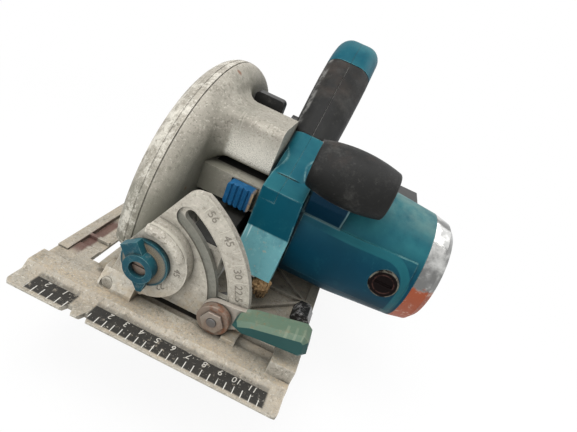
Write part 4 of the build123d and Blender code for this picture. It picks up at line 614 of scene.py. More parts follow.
    def paint(self, colour, mask=None, amount=1.0):
        """Lay a colour over what is there, where the mask says. A first coat is mottled with a darker one."""
        mix = self.node("ShaderNodeMix", data_type="RGBA")
        if self.colour is None:
            mix.inputs["A"].default_value = (*colour, 1)
            mix.inputs["B"].default_value = (*[MOTTLE * c for c in colour], 1)
            self.link(self.patches(0.35, 0.7, 30, 6), mix.inputs["Factor"])
        else:
            self.link(self.colour, mix.inputs["A"])
            mix.inputs["B"].default_value = (*colour, 1)
            self.link(self.math("MULTIPLY", mask, amount) if amount != 1.0 else mask, mix.inputs["Factor"])
        self.colour = mix.outputs["Result"]

    def gloss(self, low, high, mask):
        """Roughness between two values by a mask."""
        ramp = self.node("ShaderNodeMapRange")
        ramp.inputs["To Min"].default_value = low
        ramp.inputs["To Max"].default_value = high
        self.link(mask, ramp.inputs["Value"])
        self.link(ramp.outputs["Result"], self.shader.inputs["Roughness"])

    def relief(self, height, depth):
        """Bump of a depth in millimetres from a height mask."""
        node = self.node("ShaderNodeBump")
        node.inputs["Strength"].default_value = 0.6
        node.inputs["Distance"].default_value = depth * MM
        self.link(height, node.inputs["Height"])
        self.link(node.outputs["Normal"], self.shader.inputs["Normal"])

    def done(self):
        """Connect the colour and hand over the material."""
        self.link(self.colour, self.shader.inputs["Base Color"])
        return self.material


# Colours, linear, and how much darker the mottling of a first coat is
MOTTLE = 0.82
CAST_GREY = (0.385, 0.355, 0.300)
CAST_PALE_AND_PAINTED_LIGHT = (0.60, 0.565, 0.485)
CAST_DARK_AND_PAINTED_SHADE = (0.15, 0.135, 0.105)
CAST_SHADE = (0.17, 0.165, 0.13)
SAWDUST = (0.46, 0.36, 0.235)
PALE_DUST = (0.47, 0.405, 0.318)
GRIME = (0.040, 0.033, 0.026)
# Soot, and also black painted shade in gaps and channels and on faces that look down
SOOT_AND_PAINTED_SHADE = (0.004, 0.004, 0.004)
RUST = (0.17, 0.065, 0.030)
MOTOR_TEAL = (0.0008, 0.040, 0.070)
HANDLE_TEAL = (0.0010, 0.066, 0.100)
TEAL_WORN = (0.032, 0.165, 0.180)
TEAL_RUBBED = (0.16, 0.30, 0.30)
PANEL_NAVY_SHADE = (0.0006, 0.018, 0.038)
RUBBER = (0.0095, 0.0095, 0.009)
RUBBER_SCUFF = (0.072, 0.070, 0.064)
RUBBER_WORN = (0.26, 0.255, 0.24)
PAINT_BLACK = (0.012, 0.012, 0.012)
PAINT_WHITE = (0.72, 0.70, 0.64)
RIM_PALE = (0.72, 0.69, 0.61)
NECK_DUST_AND_PAINTED_LIGHT = (0.80, 0.77, 0.68)
SCOOP_PAINTED_SHADE = (0.13, 0.135, 0.115)
FRESH_SAWDUST = (0.50, 0.39, 0.255)
SOLE_STAIN = (0.10, 0.035, 0.030)
MOTOR_DUST = (0.17, 0.27, 0.235)
SLOPE_PAINTED_HIGHLIGHT = (0.014, 0.105, 0.125)
PANEL_RIM_HIGHLIGHT = (0.10, 0.17, 0.18)
SKIRT_PALE = (0.16, 0.39, 0.42)
SKIRT_WORN = (0.30, 0.52, 0.54)
SKIRT_SCRATCH = (0.55, 0.72, 0.72)
KNOB_TEAL = (0.004, 0.058, 0.084)
KNOB_SCUFF = (0.13, 0.17, 0.165)
COLLAR_TAN = (0.27, 0.215, 0.145)
GRIP_BLACK = (0.0065, 0.0065, 0.006)
GRIP_DIRT = (0.040, 0.024, 0.016)
SLEEVE_DIRT = (0.045, 0.029, 0.020)
STEEL_GREY = (0.42, 0.39, 0.36)
STEEL_EDGE = (0.55, 0.52, 0.48)
WEAR_GREY = (0.3, 0.3, 0.29)
WOOD_TAN = (0.44, 0.29, 0.15)
WOOD_FIBRE = (0.13, 0.075, 0.035)
WOOD_DARK_FIBRE_AND_SHADE = (0.035, 0.026, 0.020)
SAGE_SHADED_SIDE = (0.016, 0.064, 0.060)
SAGE_LIT_TOP = (0.125, 0.180, 0.122)
SAGE_DUST = (0.22, 0.215, 0.145)
SAGE_MARK = (0.27, 0.30, 0.22)
SAGE_DIRT = (0.20, 0.10, 0.035)
SAGE_EDGE = (0.20, 0.26, 0.22)
BUTTON_BLUE = (0.008, 0.095, 0.225)
BUTTON_HOLLOW = (0.020, 0.115, 0.25)
BUTTON_WORN = (0.07, 0.19, 0.33)
BUTTON_DIRT = (0.38, 0.27, 0.15)
CAP_DARK = (0.0055, 0.0030, 0.0030)
CAP_RING_WEAR_AND_HIGHLIGHT = (0.075, 0.036, 0.030)
CAP_RIM_WEAR_AND_HIGHLIGHT = (0.26, 0.25, 0.20)
BLADE_GREY = (0.44, 0.44, 0.43)
BLADE_RING = (0.26, 0.26, 0.255)
RESIN = (0.12, 0.085, 0.055)
CHROME_GREY = (0.60, 0.60, 0.58)
CHROME_TARNISH_AND_REFLECTION = (0.11, 0.11, 0.108)
CHROME_STAIN_AND_DARK_REFLECTION = (0.05, 0.048, 0.045)
CHROME_POLISH_AND_GLINT = (0.88, 0.87, 0.84)
CAP_ORANGE = (0.27, 0.048, 0.008)
ORANGE_WORN = (0.55, 0.42, 0.34)


def cast_layers(f):
    """Layers of bare worn casting: mottled grey, speckled, pale on its edges and dark in its corners."""
    f.paint(CAST_GREY)
    f.paint(CAST_PALE_AND_PAINTED_LIGHT, f.patches(0.48, 0.72, 45, 8, 0.7), 0.55)
    f.paint(CAST_DARK_AND_PAINTED_SHADE, f.patches(0.50, 0.75, 26, 8, 0.75, offset=(3, 1, 2)), 0.4)
    f.paint(CAST_DARK_AND_PAINTED_SHADE, f.patches(0.53, 0.62, 420, 5, 0.75), 0.7)
    f.paint(CAST_PALE_AND_PAINTED_LIGHT, f.patches(0.56, 0.64, 520, 4, 0.7, offset=(5, 5, 1)), 0.7)
    f.paint(GRIME, f.patches(0.66, 0.72, 900, 3, 0.6, offset=(1, 7, 3)), 0.7)
    f.paint(CAST_DARK_AND_PAINTED_SHADE, f.scratches(420, 0.67, (0.4, 0.2, 0.9)), 0.5)
    f.paint(CAST_PALE_AND_PAINTED_LIGHT, f.scratches(380, 0.66, (0.9, 0.5, 0.1)), 0.6)
    f.paint(CAST_PALE_AND_PAINTED_LIGHT, f.ridge(1.8), 0.7)
    f.paint(CAST_SHADE, f.hollow(20), 0.35)
    f.paint(GRIME, f.both(f.hollow(5), f.patches(0.25, 0.6, 60, 5)), 0.8)
    f.gloss(0.42, 0.75, f.noise(150, 5))
    f.relief(f.noise(620, 6, 0.75), 0.45)


def cast_finish(name):
    """Bare worn casting."""
    f = Finish(name, 0.5, metal=0.1, specular=0.3)
    cast_layers(f)
    return f.done()


def guard_finish():
    """The guard's casting: painted shade in the dip to the neck, towards its bottom and on the neck's top,
    painted black shade by and under the neck, its rim rubbed pale.
    """
    f = Finish("guard_casting", 0.5, metal=0.1, specular=0.3)
    cast_layers(f)
    # Painted shade: darker in the dip between guard and neck, and towards the guard's bottom
    side = f.both(f.along("X", 3, 14), f.along("X", 40, 26))
    f.paint(CAST_SHADE, f.both(side, f.patches(0.25, 0.65, 35, 8, 0.7, offset=(2, 9, 1))), 0.6)
    f.paint(CAST_SHADE, f.both(side, f.hollow(60)), 0.8)
    f.paint(CAST_SHADE, f.both(f.along("Z", 105, 45), f.patches(0.22, 0.58, 30, 8, 0.7)), 0.85)
    f.paint(CAST_DARK_AND_PAINTED_SHADE, f.patches(0.55, 0.64, 62, 10, 0.82, offset=(4, 4, 6)), 0.5)
    # Painted shade on the top of the neck
    f.paint(CAST_SHADE, f.both(f.inside("X", 27, 61, 2.0), f.turned("Z", 0.5, 0.8)), 0.25)
    rim = f.inside("X", -14, 3.4, 1.0)
    f.paint(RIM_PALE, f.both(rim, f.patches(0.46, 0.58, 80, 9, 0.78)), 0.6)
    f.paint(CAST_DARK_AND_PAINTED_SHADE, f.both(rim, f.patches(0.53, 0.61, 75, 10, 0.82, offset=(6, 1, 9))), 0.7)
    # Dust and painted light: the neck's front face painted paler in fine specks
    neck = f.both(f.inside("X", 27, 61, 2.0), f.along("Z", 84, 88), f.turned("Y", -0.5, -0.8))
    lower = f.along("Z", 114, 92)
    f.paint(NECK_DUST_AND_PAINTED_LIGHT, f.both(neck, lower, f.patches(0.72, 0.40, 1300, 4, 0.7)), 0.85)
    f.paint(RUST, f.patches(0.68, 0.71, 38, 3, 0.5, offset=(8, 2, 4)), 0.8)
    # Painted shade: black in the gap beside the neck and under it
    slot = f.both(f.inside("X", 22, 62), f.inside("Y", -44, -25), f.inside("Z", 74, 84))
    under = f.both(f.inside("X", 19, 62), f.along("Z", 59.5, 57.5), f.along("Y", -25, -30))
    f.paint(SOOT_AND_PAINTED_SHADE, f.math("MAXIMUM", slot, under), 0.94)
    return f.done()


def quadrant_finish():
    """The quadrant's casting, its front faces painted paler as light, painted shade in the scoop beside its
    slot, and dusty over its feet.
    """
    f = Finish("quadrant_casting", 0.5, metal=0.1, specular=0.3)
    cast_layers(f)
    # Painted light: front faces made paler, in patches
    f.paint(CAST_PALE_AND_PAINTED_LIGHT, f.both(f.turned("Y", -0.6, -0.9), f.patches(0.30, 0.62, 200, 8, 0.75)), 0.45)
    reach = f.away(BEVEL_PIVOT, "XZ")
    scoop = f.both(f.step(reach, 0.0570, 0.0585), f.step(reach, 0.0640, 0.0620), f.along("Y", -111.7, -111))
    # Painted shade in the scoop beside the slot
    f.paint(SCOOP_PAINTED_SHADE, scoop, 0.75)
    low = f.both(f.along("Z", 32, 10), f.patches(0.42, 0.58, 120, 8, 0.7))
    f.paint(SAWDUST, low, 0.45)
    return f.done()


def sole_finish():
    """The sole: grimy casting under sawdust, with painted shadow before the quadrant and painted black shade
    under it, and two black scale strips worn at their edges.
    """
    f = Finish("sole_casting", 0.55, metal=0.1, specular=0.25)
    cast_layers(f)
    lying = f.turned("Z", 0.4, 0.9)
    f.paint(PALE_DUST, f.both(lying, f.patches(0.40, 0.62, 60, 9, 0.75)), 0.7)
    f.paint(CAST_DARK_AND_PAINTED_SHADE, f.both(lying, f.patches(0.52, 0.66, 90, 9, 0.8, offset=(4, 0, 7))), 0.52)
    f.paint(SAWDUST, f.both(lying, f.patches(0.54, 0.62, 1300, 4, 0.7)), 0.5)
    f.paint(CAST_DARK_AND_PAINTED_SHADE, f.both(lying, f.patches(0.57, 0.64, 1100, 4, 0.7, offset=(3, 3, 3))), 0.5)
    behind = f.both(lying, f.inside("Y", -135, -124, 6), f.patches(0.46, 0.60, 700, 8, 0.8))
    f.paint(FRESH_SAWDUST, behind, 0.7)
    # Painted shadow: darker in front of the quadrant, in patches
    before = f.both(lying, f.inside("Y", -121, -111, 5), f.inside("X", 18, 92, 8))
    f.paint(CAST_DARK_AND_PAINTED_SHADE, f.both(before, f.patches(0.36, 0.60, 130, 8, 0.75, offset=(6, 1, 2))), 0.55)
    # Painted shade: black in the channel under the quadrant's lower edge
    under = f.both(f.along("Z", 7.8, 7), f.inside("X", 22, 81, 1.0))
    f.paint(SOOT_AND_PAINTED_SHADE, f.both(under, f.inside("Y", -111.2, -96, 0.5)), 0.92)
    f.paint(SOLE_STAIN, f.both(f.inside("X", -34, -27.5, 1.0), f.inside("Y", -104, -58, 4)), 0.8)
    edge = f.math("MULTIPLY", f.noise(170, 9, 0.8), 0.006, False)
    depth = f.math("ADD", f.axis("Y"), edge, False)
    worn = f.both(f.patches(0.68, 0.58, 170, 9, 0.8), f.step(depth, -0.1305, -0.1325))
    strips = f.both(f.inside("Y", -147.0, -134.0, 0.6), lying)
    ends = f.math("MAXIMUM", f.inside("X", 8.5, 118.5, 0.8), f.inside("X", -30, -3, 0.8))
    f.paint(PAINT_BLACK, f.both(strips, ends, worn), 0.95)
    f.paint(CAST_PALE_AND_PAINTED_LIGHT, f.both(strips, ends, f.patches(0.62, 0.68, 600, 4, 0.7)), 0.6)
    halves = f.math("FRACT", f.math("ADD", f.math("MULTIPLY", f.axis("X"), 200.0, False), 0.5, False), 0.0)
    tick = f.step(f.math("ABSOLUTE", f.math("SUBTRACT", halves, 0.5, False), 0.0), 0.065, 0.04)
    ticks = f.both(tick, f.inside("Y", -147.5, -142.3, 0.3), lying, ends, f.patches(0.36, 0.46, 200, 6, 0.7))
    f.paint(PAINT_WHITE, ticks, 0.9)
    return f.done()


def teal_layers(f, base, dust, rub=0.9):
    """Layers of moulded teal plastic: dusty on top, finely scuffed, and rubbed pale on its edges."""
    f.paint(base)
    up = f.turned("Z", 0.10, 0.90)
    f.paint(TEAL_WORN, f.both(up, f.patches(0.20, 0.75, 26, 8, 0.65)), dust)
    f.paint(TEAL_WORN, f.patches(0.58, 0.75, 200, 9, 0.8), 0.35)
    f.paint(TEAL_WORN, f.patches(0.54, 0.72, 34, 9, 0.75, offset=(5, 3, 8)), 0.3)
    f.paint(SOOT_AND_PAINTED_SHADE, f.patches(0.64, 0.74, 80, 8, 0.75, offset=(1, 8, 2)), 0.4)
    f.paint(TEAL_RUBBED, f.both(f.edges(rub), f.patches(0.38, 0.6, 90, 6, 0.7)), 0.7)
    f.paint(GRIME, f.hollow(3), 0.55)
    f.gloss(0.34, 0.6, f.noise(60, 6))
    f.relief(f.noise(1500, 3), 0.06)


def teal_finish(name):
    """Moulded teal plastic."""
    f = Finish(name, 0.4, specular=0.09)
    teal_layers(f, HANDLE_TEAL, 0.5)
    return f.done()


def motor_finish():
    """The motor's shell: dusty on top, with painted shade on its underside, a navy panel under the grip
    painted as shade with a painted highlight round its rim, and a broad slope round its front with a painted
    highlight.
    """
    f = Finish("motor_plastic", 0.4, specular=0.09)
    teal_layers(f, MOTOR_TEAL, 0.95)
    dusty = f.both(f.turned("Z", 0.70, 1.0), f.along("X", 105, 145))
    f.paint(MOTOR_DUST, f.both(dusty, f.patches(0.30, 0.62, 45, 9, 0.7, offset=(9, 2, 4))), 0.5)
    front = f.along("Y", -40, -50)
    over = [f.math("MAXIMUM", f.math("SUBTRACT", f.axis(letter), start * MM, False), 0.0, False)
            for letter, start in (("X", 153.0), ("Z", 57.0))]
    corner = f.math("SQRT", f.math("ADD", f.math("MULTIPLY", over[0], over[0], False),
                                   f.math("MULTIPLY", over[1], over[1], False), False), 0.0, False)
    slope = f.both(front, f.step(corner, 0.0150, 0.0158), f.step(corner, 0.0215, 0.0208))
    # Painted highlight on the slope round the front
    f.paint(SLOPE_PAINTED_HIGHLIGHT, f.both(slope, f.along("X", 100, 125)), 0.8)
    # Painted shade on the faces that look down
    f.paint(SOOT_AND_PAINTED_SHADE, f.both(f.turned("Z", -0.25, -0.6), f.patches(0.3, 0.6, 40, 5)), 0.45)
    # Painted highlight round the panel's rim, and painted shade in navy over the panel
    pedestal = f.both(f.along("Z", 76.5, 77.5), f.along("Y", -52, -54))
    f.paint(PANEL_RIM_HIGHLIGHT, f.both(pedestal, f.inside("X", 89.5, 117.5, 0.3)), 0.8)
    f.paint(PANEL_NAVY_SHADE, f.both(pedestal, f.inside("X", 91, 116, 0.3), f.along("Z", 78.2, 79)))
    f.relief(f.math("MULTIPLY", f.step(corner, 0.0210, 0.0155), front), 2.2)
    return f.done()


def skirt_finish():
    """The handle's plastic: paler and specked with sawdust low on the skirt."""
    f = Finish("handle_plastic", 0.4, specular=0.09)
    teal_layers(f, HANDLE_TEAL, 0.6, 1.8)
    low = f.both(f.along("Z", 59.2, 57.8), f.along("Y", -60, -66))
    f.paint(SKIRT_PALE, f.both(low, f.patches(0.10, 0.55, 60, 8, 0.7)), 0.9)
    f.paint(SKIRT_WORN, f.both(low, f.patches(0.54, 0.66, 120, 9, 0.8, offset=(3, 1, 4))), 0.5)
    f.paint(SAWDUST, f.both(low, f.patches(0.58, 0.68, 260, 6, 0.75)), 0.7)
    f.paint(SKIRT_SCRATCH, f.both(low, f.scratches(300, 0.62, (0.3, 0.2, 0.5), 0.4)), 0.7)
    return f.done()


def knob_finish():
    """The stop knob: teal wings over a collar packed with tan dust."""
    f = Finish("knob_plastic", 0.4, specular=0.2)
    teal_layers(f, KNOB_TEAL, 0.3)
    f.paint(KNOB_SCUFF, f.patches(0.50, 0.66, 240, 9, 0.8, offset=(2, 5, 5)), 0.55)
    f.paint(SOOT_AND_PAINTED_SHADE, f.hollow(4), 0.5)
    reach = f.away(STOP_CENTRE, "XZ")
    collar = f.both(f.along("Y", -125.6, -124.7), f.step(reach, 0.0140, 0.0124))
    f.paint(COLLAR_TAN, f.both(collar, f.patches(0.20, 0.60, 2600, 2, 0.5)), 0.85)
    return f.done()


def worn_rubber(f):
    """Last layers of rubber: edges worn pale, an uneven shine and a fine grain."""
    f.paint(RUBBER_WORN, f.both(f.ridge(1.5), f.patches(0.40, 0.58, 120, 7, 0.75)), 0.7)
    f.gloss(0.40, 0.72, f.noise(80, 5))
    f.relief(f.noise(1100, 5, 0.75), 0.3)


def rubber_finish(name):
    """Black moulded rubber, scuffed grey and brown with dirt."""
    f = Finish(name, 0.45, specular=0.22)
    f.paint(GRIP_BLACK)
    f.paint(RUBBER_SCUFF, f.patches(0.50, 0.68, 44, 10, 0.78), 0.5)
    f.paint(GRIP_DIRT, f.patches(0.54, 0.72, 24, 8, 0.7, offset=(2, 6, 3)), 0.5)
    f.paint(RUBBER_SCUFF, f.patches(0.58, 0.72, 300, 5, 0.75), 0.4)
    worn_rubber(f)
    return f.done()


def sleeve_finish():
    """The handle's rubber, with a pale line along its parting."""
    f = Finish("sleeve_rubber", 0.55, specular=0.16)
    f.paint(RUBBER)
    f.paint(RUBBER_SCUFF, f.patches(0.48, 0.74, 38, 9, 0.72), 0.5)
    f.paint(SLEEVE_DIRT, f.patches(0.5, 0.72, 24, 6, 0.6, offset=(2, 6, 3)), 0.5)
    f.paint(RUBBER_SCUFF, f.patches(0.58, 0.72, 300, 5, 0.75), 0.4)
    worn = f.both(f.turned("X", -0.55, -0.68), f.turned("X", -0.92, -0.80),
                  f.patches(0.44, 0.58, 70, 9, 0.75))
    f.paint(RUBBER_WORN, worn, 0.65)
    parting = f.inside("X", PARTING_X - 0.15, PARTING_X + 0.15, 0.15)
    f.paint(RUBBER_WORN, f.both(parting, f.patches(0.34, 0.52, 90, 5)), 0.8)
    worn_rubber(f)
    return f.done()


def steel_finish(name, base=STEEL_GREY, rust=0.5, shine=0.85):
    """Plain steel with rust in patches."""
    f = Finish(name, 0.4, metal=shine)
    f.paint(base)
    f.paint(RUST, f.patches(0.42, 0.66, 160, 7, 0.7), rust)
    f.paint(STEEL_EDGE, f.ridge(0.8), 0.5)
    f.paint(GRIME, f.hollow(3), 0.7)
    f.gloss(0.32, 0.65, f.noise(200, 5))
    f.relief(f.noise(1200, 4), 0.1)
    return f.done()


def plain_finish(name, base, rough, metal=0.0, wear=WEAR_GREY, amount=0.4, start=0.58):
    """A plain moulded or machined surface with a little wear."""
    f = Finish(name, rough, metal=metal, specular=0.3)
    f.paint(base)
    f.paint(wear, f.patches(start, start + 0.14, 150, 8, 0.78), amount)
    f.paint(wear, f.ridge(1.0), 0.5 * amount)
    f.paint(GRIME, f.hollow(3), 0.5)
    f.relief(f.noise(1200, 3), 0.06)
    return f.done()


def wood_finish():
    """Splintered wood: a tan break over dark brown fibres, with painted shade low down."""
    f = Finish("splintered_wood", 0.9, specular=0.1)
    f.paint(WOOD_TAN)
    fibre = f.noise(900, 4, 0.7, (1, 1, 0.12))
    f.paint(WOOD_FIBRE, f.step(fibre, 0.46, 0.60), 0.8)
    # Dark fibres and painted shade on the lower part
    f.paint(WOOD_DARK_FIBRE_AND_SHADE, f.both(f.along("Z", 26.5, 20), f.step(fibre, 0.36, 0.52)), 0.85)
    return f.done()


def lever_finish():
    """Sage green grip, painted paler on top as light and darker on its sides as shade, with three rubbed
    cross marks near its end and rust-brown dirt.
    """
    f = Finish("sage_plastic", 0.45, specular=0.2)
    f.paint(SAGE_SHADED_SIDE)
    # Painted light and shade: a lit top over shaded sides
    top = f.turned("Z", 0.35, 0.75)
    f.paint(SAGE_LIT_TOP, top, 0.8)
    f.paint(SAGE_DUST, f.both(top, f.patches(0.50, 0.68, 90, 9, 0.8)), 0.6)
    across = f.math("MAXIMUM", f.math("MAXIMUM", f.inside("X", 112.2, 113.8), f.inside("X", 117.2, 118.6)),
                    f.inside("X", 121.6, 122.8))
    f.paint(SAGE_MARK, f.both(across, top, f.along("Y", -117.5, -119.5)), 0.3)
    f.paint(SAGE_DIRT, f.both(top, f.patches(0.54, 0.66, 150, 9, 0.8, offset=(1, 4, 2))), 0.6)
    f.paint(SAGE_EDGE, f.ridge(1.2), 0.4)
    f.relief(f.noise(1000, 4), 0.1)
    return f.done()


def button_finish():
    """Blue ribbed button, tan with dirt along its right side."""
    f = Finish("blue_plastic", 0.45, specular=0.2)
    f.paint(BUTTON_BLUE)
    f.paint(BUTTON_HOLLOW, f.hollow(2), 0.8)
    f.paint(BUTTON_WORN, f.patches(0.52, 0.72, 150, 7, 0.7), 0.5)
    f.paint(BUTTON_DIRT, f.both(f.along("X", 56, 57.5), f.patches(0.3, 0.5, 200, 5, 0.7)), 0.9)
    return f.done()


def cap_finish():
    """Dark brush cap with a ring round its face and a pale rim, each partly rubbed and partly a painted
    highlight.
    """
    f = Finish("cap_plastic", 0.5, specular=0.05)
    f.paint(CAP_DARK)
    reach = f.away(BRUSH_CAP_AT, "XZ")
    ring = f.both(f.step(reach, 0.0062, 0.0066), f.step(reach, 0.0075, 0.0070),
                  f.patches(0.40, 0.6, 240, 6, 0.7))
    f.paint(CAP_RING_WEAR_AND_HIGHLIGHT, ring, 0.7)
    f.paint(CAP_RIM_WEAR_AND_HIGHLIGHT, f.both(f.step(reach, 0.0088, 0.0093), f.patches(0.40, 0.6, 160, 6, 0.7)), 0.6)
    f.relief(f.noise(1200, 3), 0.06)
    return f.done()


def blade_finish():
    """Brushed blade steel in fine rings, brown with resin towards its teeth."""
    f = Finish("blade_steel", 0.35, metal=0.9)
    f.paint(BLADE_GREY)
    reach = f.away(SPINDLE_AT, "YZ")
    f.paint(BLADE_RING, f.step(f.rings(reach, 900), 0.40, 0.62), 0.6)
    f.paint(RESIN, f.both(f.step(reach, 0.062, 0.090), f.patches(0.42, 0.62, 70, 8, 0.75)), 0.6)
    f.paint(GRIME, f.patches(0.62, 0.72, 140, 8, 0.78), 0.5)
    f.gloss(0.25, 0.5, f.noise(120, 5))
    return f.done()


def chrome_finish():
    """Bright end cap with dull streaks and bright patches, partly tarnish and partly painted reflections,
    orange with paint along its lower part.
    """
    f = Finish("bright_cap", 0.16, metal=1.0)
    f.paint(CHROME_GREY)
    # Tarnish and painted reflections: dark streaks and bright patches
    f.paint(CHROME_TARNISH_AND_REFLECTION, f.patches(0.40, 0.58, 30, 6, 0.6, (1, 0.6, 1.6)), 0.85)
    f.paint(CHROME_STAIN_AND_DARK_REFLECTION, f.patches(0.60, 0.70, 85, 8, 0.75, (0.7, 0.7, 1.8), offset=(7, 1, 3)), 0.6)
    f.paint(CHROME_POLISH_AND_GLINT, f.patches(0.52, 0.66, 60, 5, 0.6, offset=(4, 4, 1)), 0.5)
    line = f.math("ADD", f.axis("Z"), f.math("MULTIPLY", f.noise(90, 7, 0.7), 0.024, False), False)
    paint = f.step(line, 0.0755, 0.0725)
    f.paint(CAP_ORANGE, paint)
    f.paint(ORANGE_WORN, f.both(paint, f.patches(0.56, 0.64, 160, 7, 0.75, offset=(2, 2, 5))), 0.5)
    f.link(f.math("SUBTRACT", 1.0, paint), f.shader.inputs["Metallic"])
    f.gloss(0.06, 0.55, f.math("MAXIMUM", f.math("MULTIPLY", f.noise(90, 6), 0.4), paint))
    f.relief(f.noise(300, 5, 0.6), 0.12)
    return f.done()


CAST = cast_finish("worn_casting")
GUARD = guard_finish()
QUADRANT = quadrant_finish()
SOLE = sole_finish()
TEAL_PLASTIC = teal_finish("teal_plastic")
MOTOR = motor_finish()
HANDLE = skirt_finish()
KNOB = knob_finish()
BLACK_RUBBER = rubber_finish("grip_rubber")
SLEEVE = sleeve_finish()
STEEL = steel_finish("plain_steel", rust=0.25)
RUSTY = steel_finish("rusty_steel", (0.24, 0.19, 0.15), 0.95, 0.35)
PLATE = steel_finish("lever_plate", (0.42, 0.385, 0.33), 0.2, 0.25)
NUT_STEEL = steel_finish("nut_steel", (0.34, 0.295, 0.25), 0.4, 0.65)
DARK_STEEL = steel_finish("dark_bolt", (0.15, 0.145, 0.14), 0.15, 0.5)
GREEN_GRIP = lever_finish()
BLUE_BUTTON = button_finish()
BLACK_PLASTIC = plain_finish("black_plastic", (0.013, 0.0125, 0.012), 0.42,
                             wear=(0.085, 0.08, 0.07), start=0.52)
CAP_BLACK = cap_finish()
# Its pale patches are wear and painted highlights
FENCE_BLACK = plain_finish("knob_black", (0.022, 0.021, 0.020), 0.2,
                           wear=(0.34, 0.33, 0.32), amount=0.85, start=0.50)
DARK_IRON = plain_finish("dark_iron", (0.09, 0.09, 0.09), 0.5, metal=0.6)
BRASS = plain_finish("yellow_metal", (0.55, 0.35, 0.12), 0.35, metal=0.9)
CELL_SLEEVE = plain_finish("cell_sleeve", (0.03, 0.12, 0.06), 0.4)
MARK_WHITE = plain_finish("white_marks", PAINT_WHITE, 0.6, wear=(0.3, 0.27, 0.22), amount=0.8)
# Painted shade: the raised numbers are dark grey for the shade of their relief
MARK_DARK_AS_SHADE = plain_finish("raised_marks_painted_dark", (0.15, 0.135, 0.11), 0.6, wear=(0.34, 0.31, 0.26), amount=0.7)
DUST = wood_finish()
CHROME = chrome_finish()
BLADE = blade_finish()

FINISH_OF_SLOT = {
    "cast": CAST, "steel": STEEL, "iron": DARK_IRON, "chrome": CHROME, "teal_plastic": TEAL_PLASTIC,
    "green_plastic": GREEN_GRIP, "blue_plastic": BLUE_BUTTON, "black_plastic": BLACK_PLASTIC,
    "rubber": BLACK_RUBBER, "brass": BRASS, "cell": CELL_SLEEVE,
}
FINISH_OF_NODE = {"blade": BLADE, "handle_screws": DARK_STEEL}
SMALL_PIECES = ("trigger", "lockoff_button", "depth_lever", "battery_latch", "blade_bolt", "outer_flange")


def finish_of(node):
    """A solid's own finish, or that of its slot."""
    return FINISH_OF_NODE.get(node, FINISH_OF_SLOT[SLOT_OF[node]])


def finish_solids():
    """Give every solid its finish."""
    for node, solid in frame["nodes"].items():
        solid.data.materials.clear()
        solid.data.materials.append(finish_of(node))


def dress_solids():
    """Round the edges of what is seen from outside."""
    dress("blade_case", GUARD, 0.9)
    dress("base_plate", SOLE, 0.7)
    dress("bevel_quadrant", QUADRANT, 1.2, segments=3, shape=shape_quadrant)
    dress("lower_guard", CAST, 0.5)
    dress("angle_bracket", CAST, 0.5)
    dress("rear_angle_plate", CAST, 0.5)
    dress("motor_housing", MOTOR, 1.0)
    handle_shell()
    rubber_sleeve()
    dress("stop_knob", KNOB, 0.8)
    dress("lever_grip", GREEN_GRIP, 1.6, segments=3)
    dress("front_grip", BLACK_RUBBER, 1.5)
    dress("motor_cap", CHROME, 0.8, flat=False)
    dress("shaft_lock", BLUE_BUTTON, 0.5)
    dress("bevel_lever", PLATE, 0.5)
    dress("bevel_nut", NUT_STEEL, 0.5, seat=NUT_FRONT, share=0.4)
    dress("bevel_washer", RUSTY, 0.6, seat=WASHER_BACK, share=4.0)
    dress("stop_screw", RUSTY, 0.3)
    dress("bevel_bolt", DARK_STEEL, 0.4, seat=BOLT_HEAD_Y, share=0.9)
    dress("bevel_pins", CAST, 0.4)
    dress("brush_caps", CAP_BLACK, 0.8)
    dress("fence_screw", FENCE_BLACK, 0.6)
    dress("depth_pad", BLACK_PLASTIC, 0.6)
    for node in SMALL_PIECES:
        dress(node, finish_of(node), 0.5)
    dress("battery_mount", BLACK_PLASTIC, 1.2, segments=3)
    seam(dress("battery_case", BLACK_PLASTIC, 0.6), (0, 0, BATTERY_SEAM_Z), (0, 0, 1))


def numeral(text, size, at, right, up, slant=0.0):
    """A thin raised number, centred on a point."""
    bpy.ops.object.select_all(action="DESELECT")
    bpy.ops.object.text_add()
    piece = bpy.context.object
    piece.data.body = text
    piece.data.size = size * MM
    piece.data.align_x = "CENTER"
    piece.data.align_y = "CENTER"
    piece.data.extrude = MARK_HEIGHT * MM
    piece.data.shear = slant
    piece.data.resolution_u = 3
    only(piece)
    bpy.ops.object.convert(target="MESH")
    place(piece, at, right, up)
    return piece


def bar(length, width, at, right, up, height=MARK_HEIGHT):
    """A low rib with rounded edges, along up."""
    bpy.ops.object.select_all(action="DESELECT")
    bpy.ops.mesh.primitive_cube_add(size=1.0)
    piece = bpy.context.object
    piece.scale = (width * MM, length * MM, 2 * height * MM)
    apply_place()
    modify(piece, "BEVEL", width=0.4 * height * MM, segments=2)
    place(piece, at, right, up)
    return piece


def sole_numbers():
    """White numbers of the two centimetre scales on the sole."""
    spots = [(str(number), CENTIMETRE * number, SOLE_NUMBER_Y) for number in range(2, 12)]
    pieces = [numeral(text, SOLE_NUMBER_SIZE, (x, y, SOLE_TOP), (-1, 0, 0), (0, -1, 0), SOLE_NUMBER_SLANT)
              for text, x, y in (*spots, *LEFT_NUMBERS)]
    carry(join(pieces, "sole_numbers"), "base", MARK_WHITE)


def around(centre, reach, degrees):
    """The (x, z) place at a distance and an angle about a centre."""
    turn = math.radians(degrees)
    return centre[0] + reach * math.cos(turn), centre[1] + reach * math.sin(turn)


def outward(centre, x, z):
    """The directions along and away from a circle about a centre, at an (x, z) place on it."""
    out = Vector((x - centre[0], 0, z - centre[1]))
    return Vector((out.z, 0, -out.x)), out


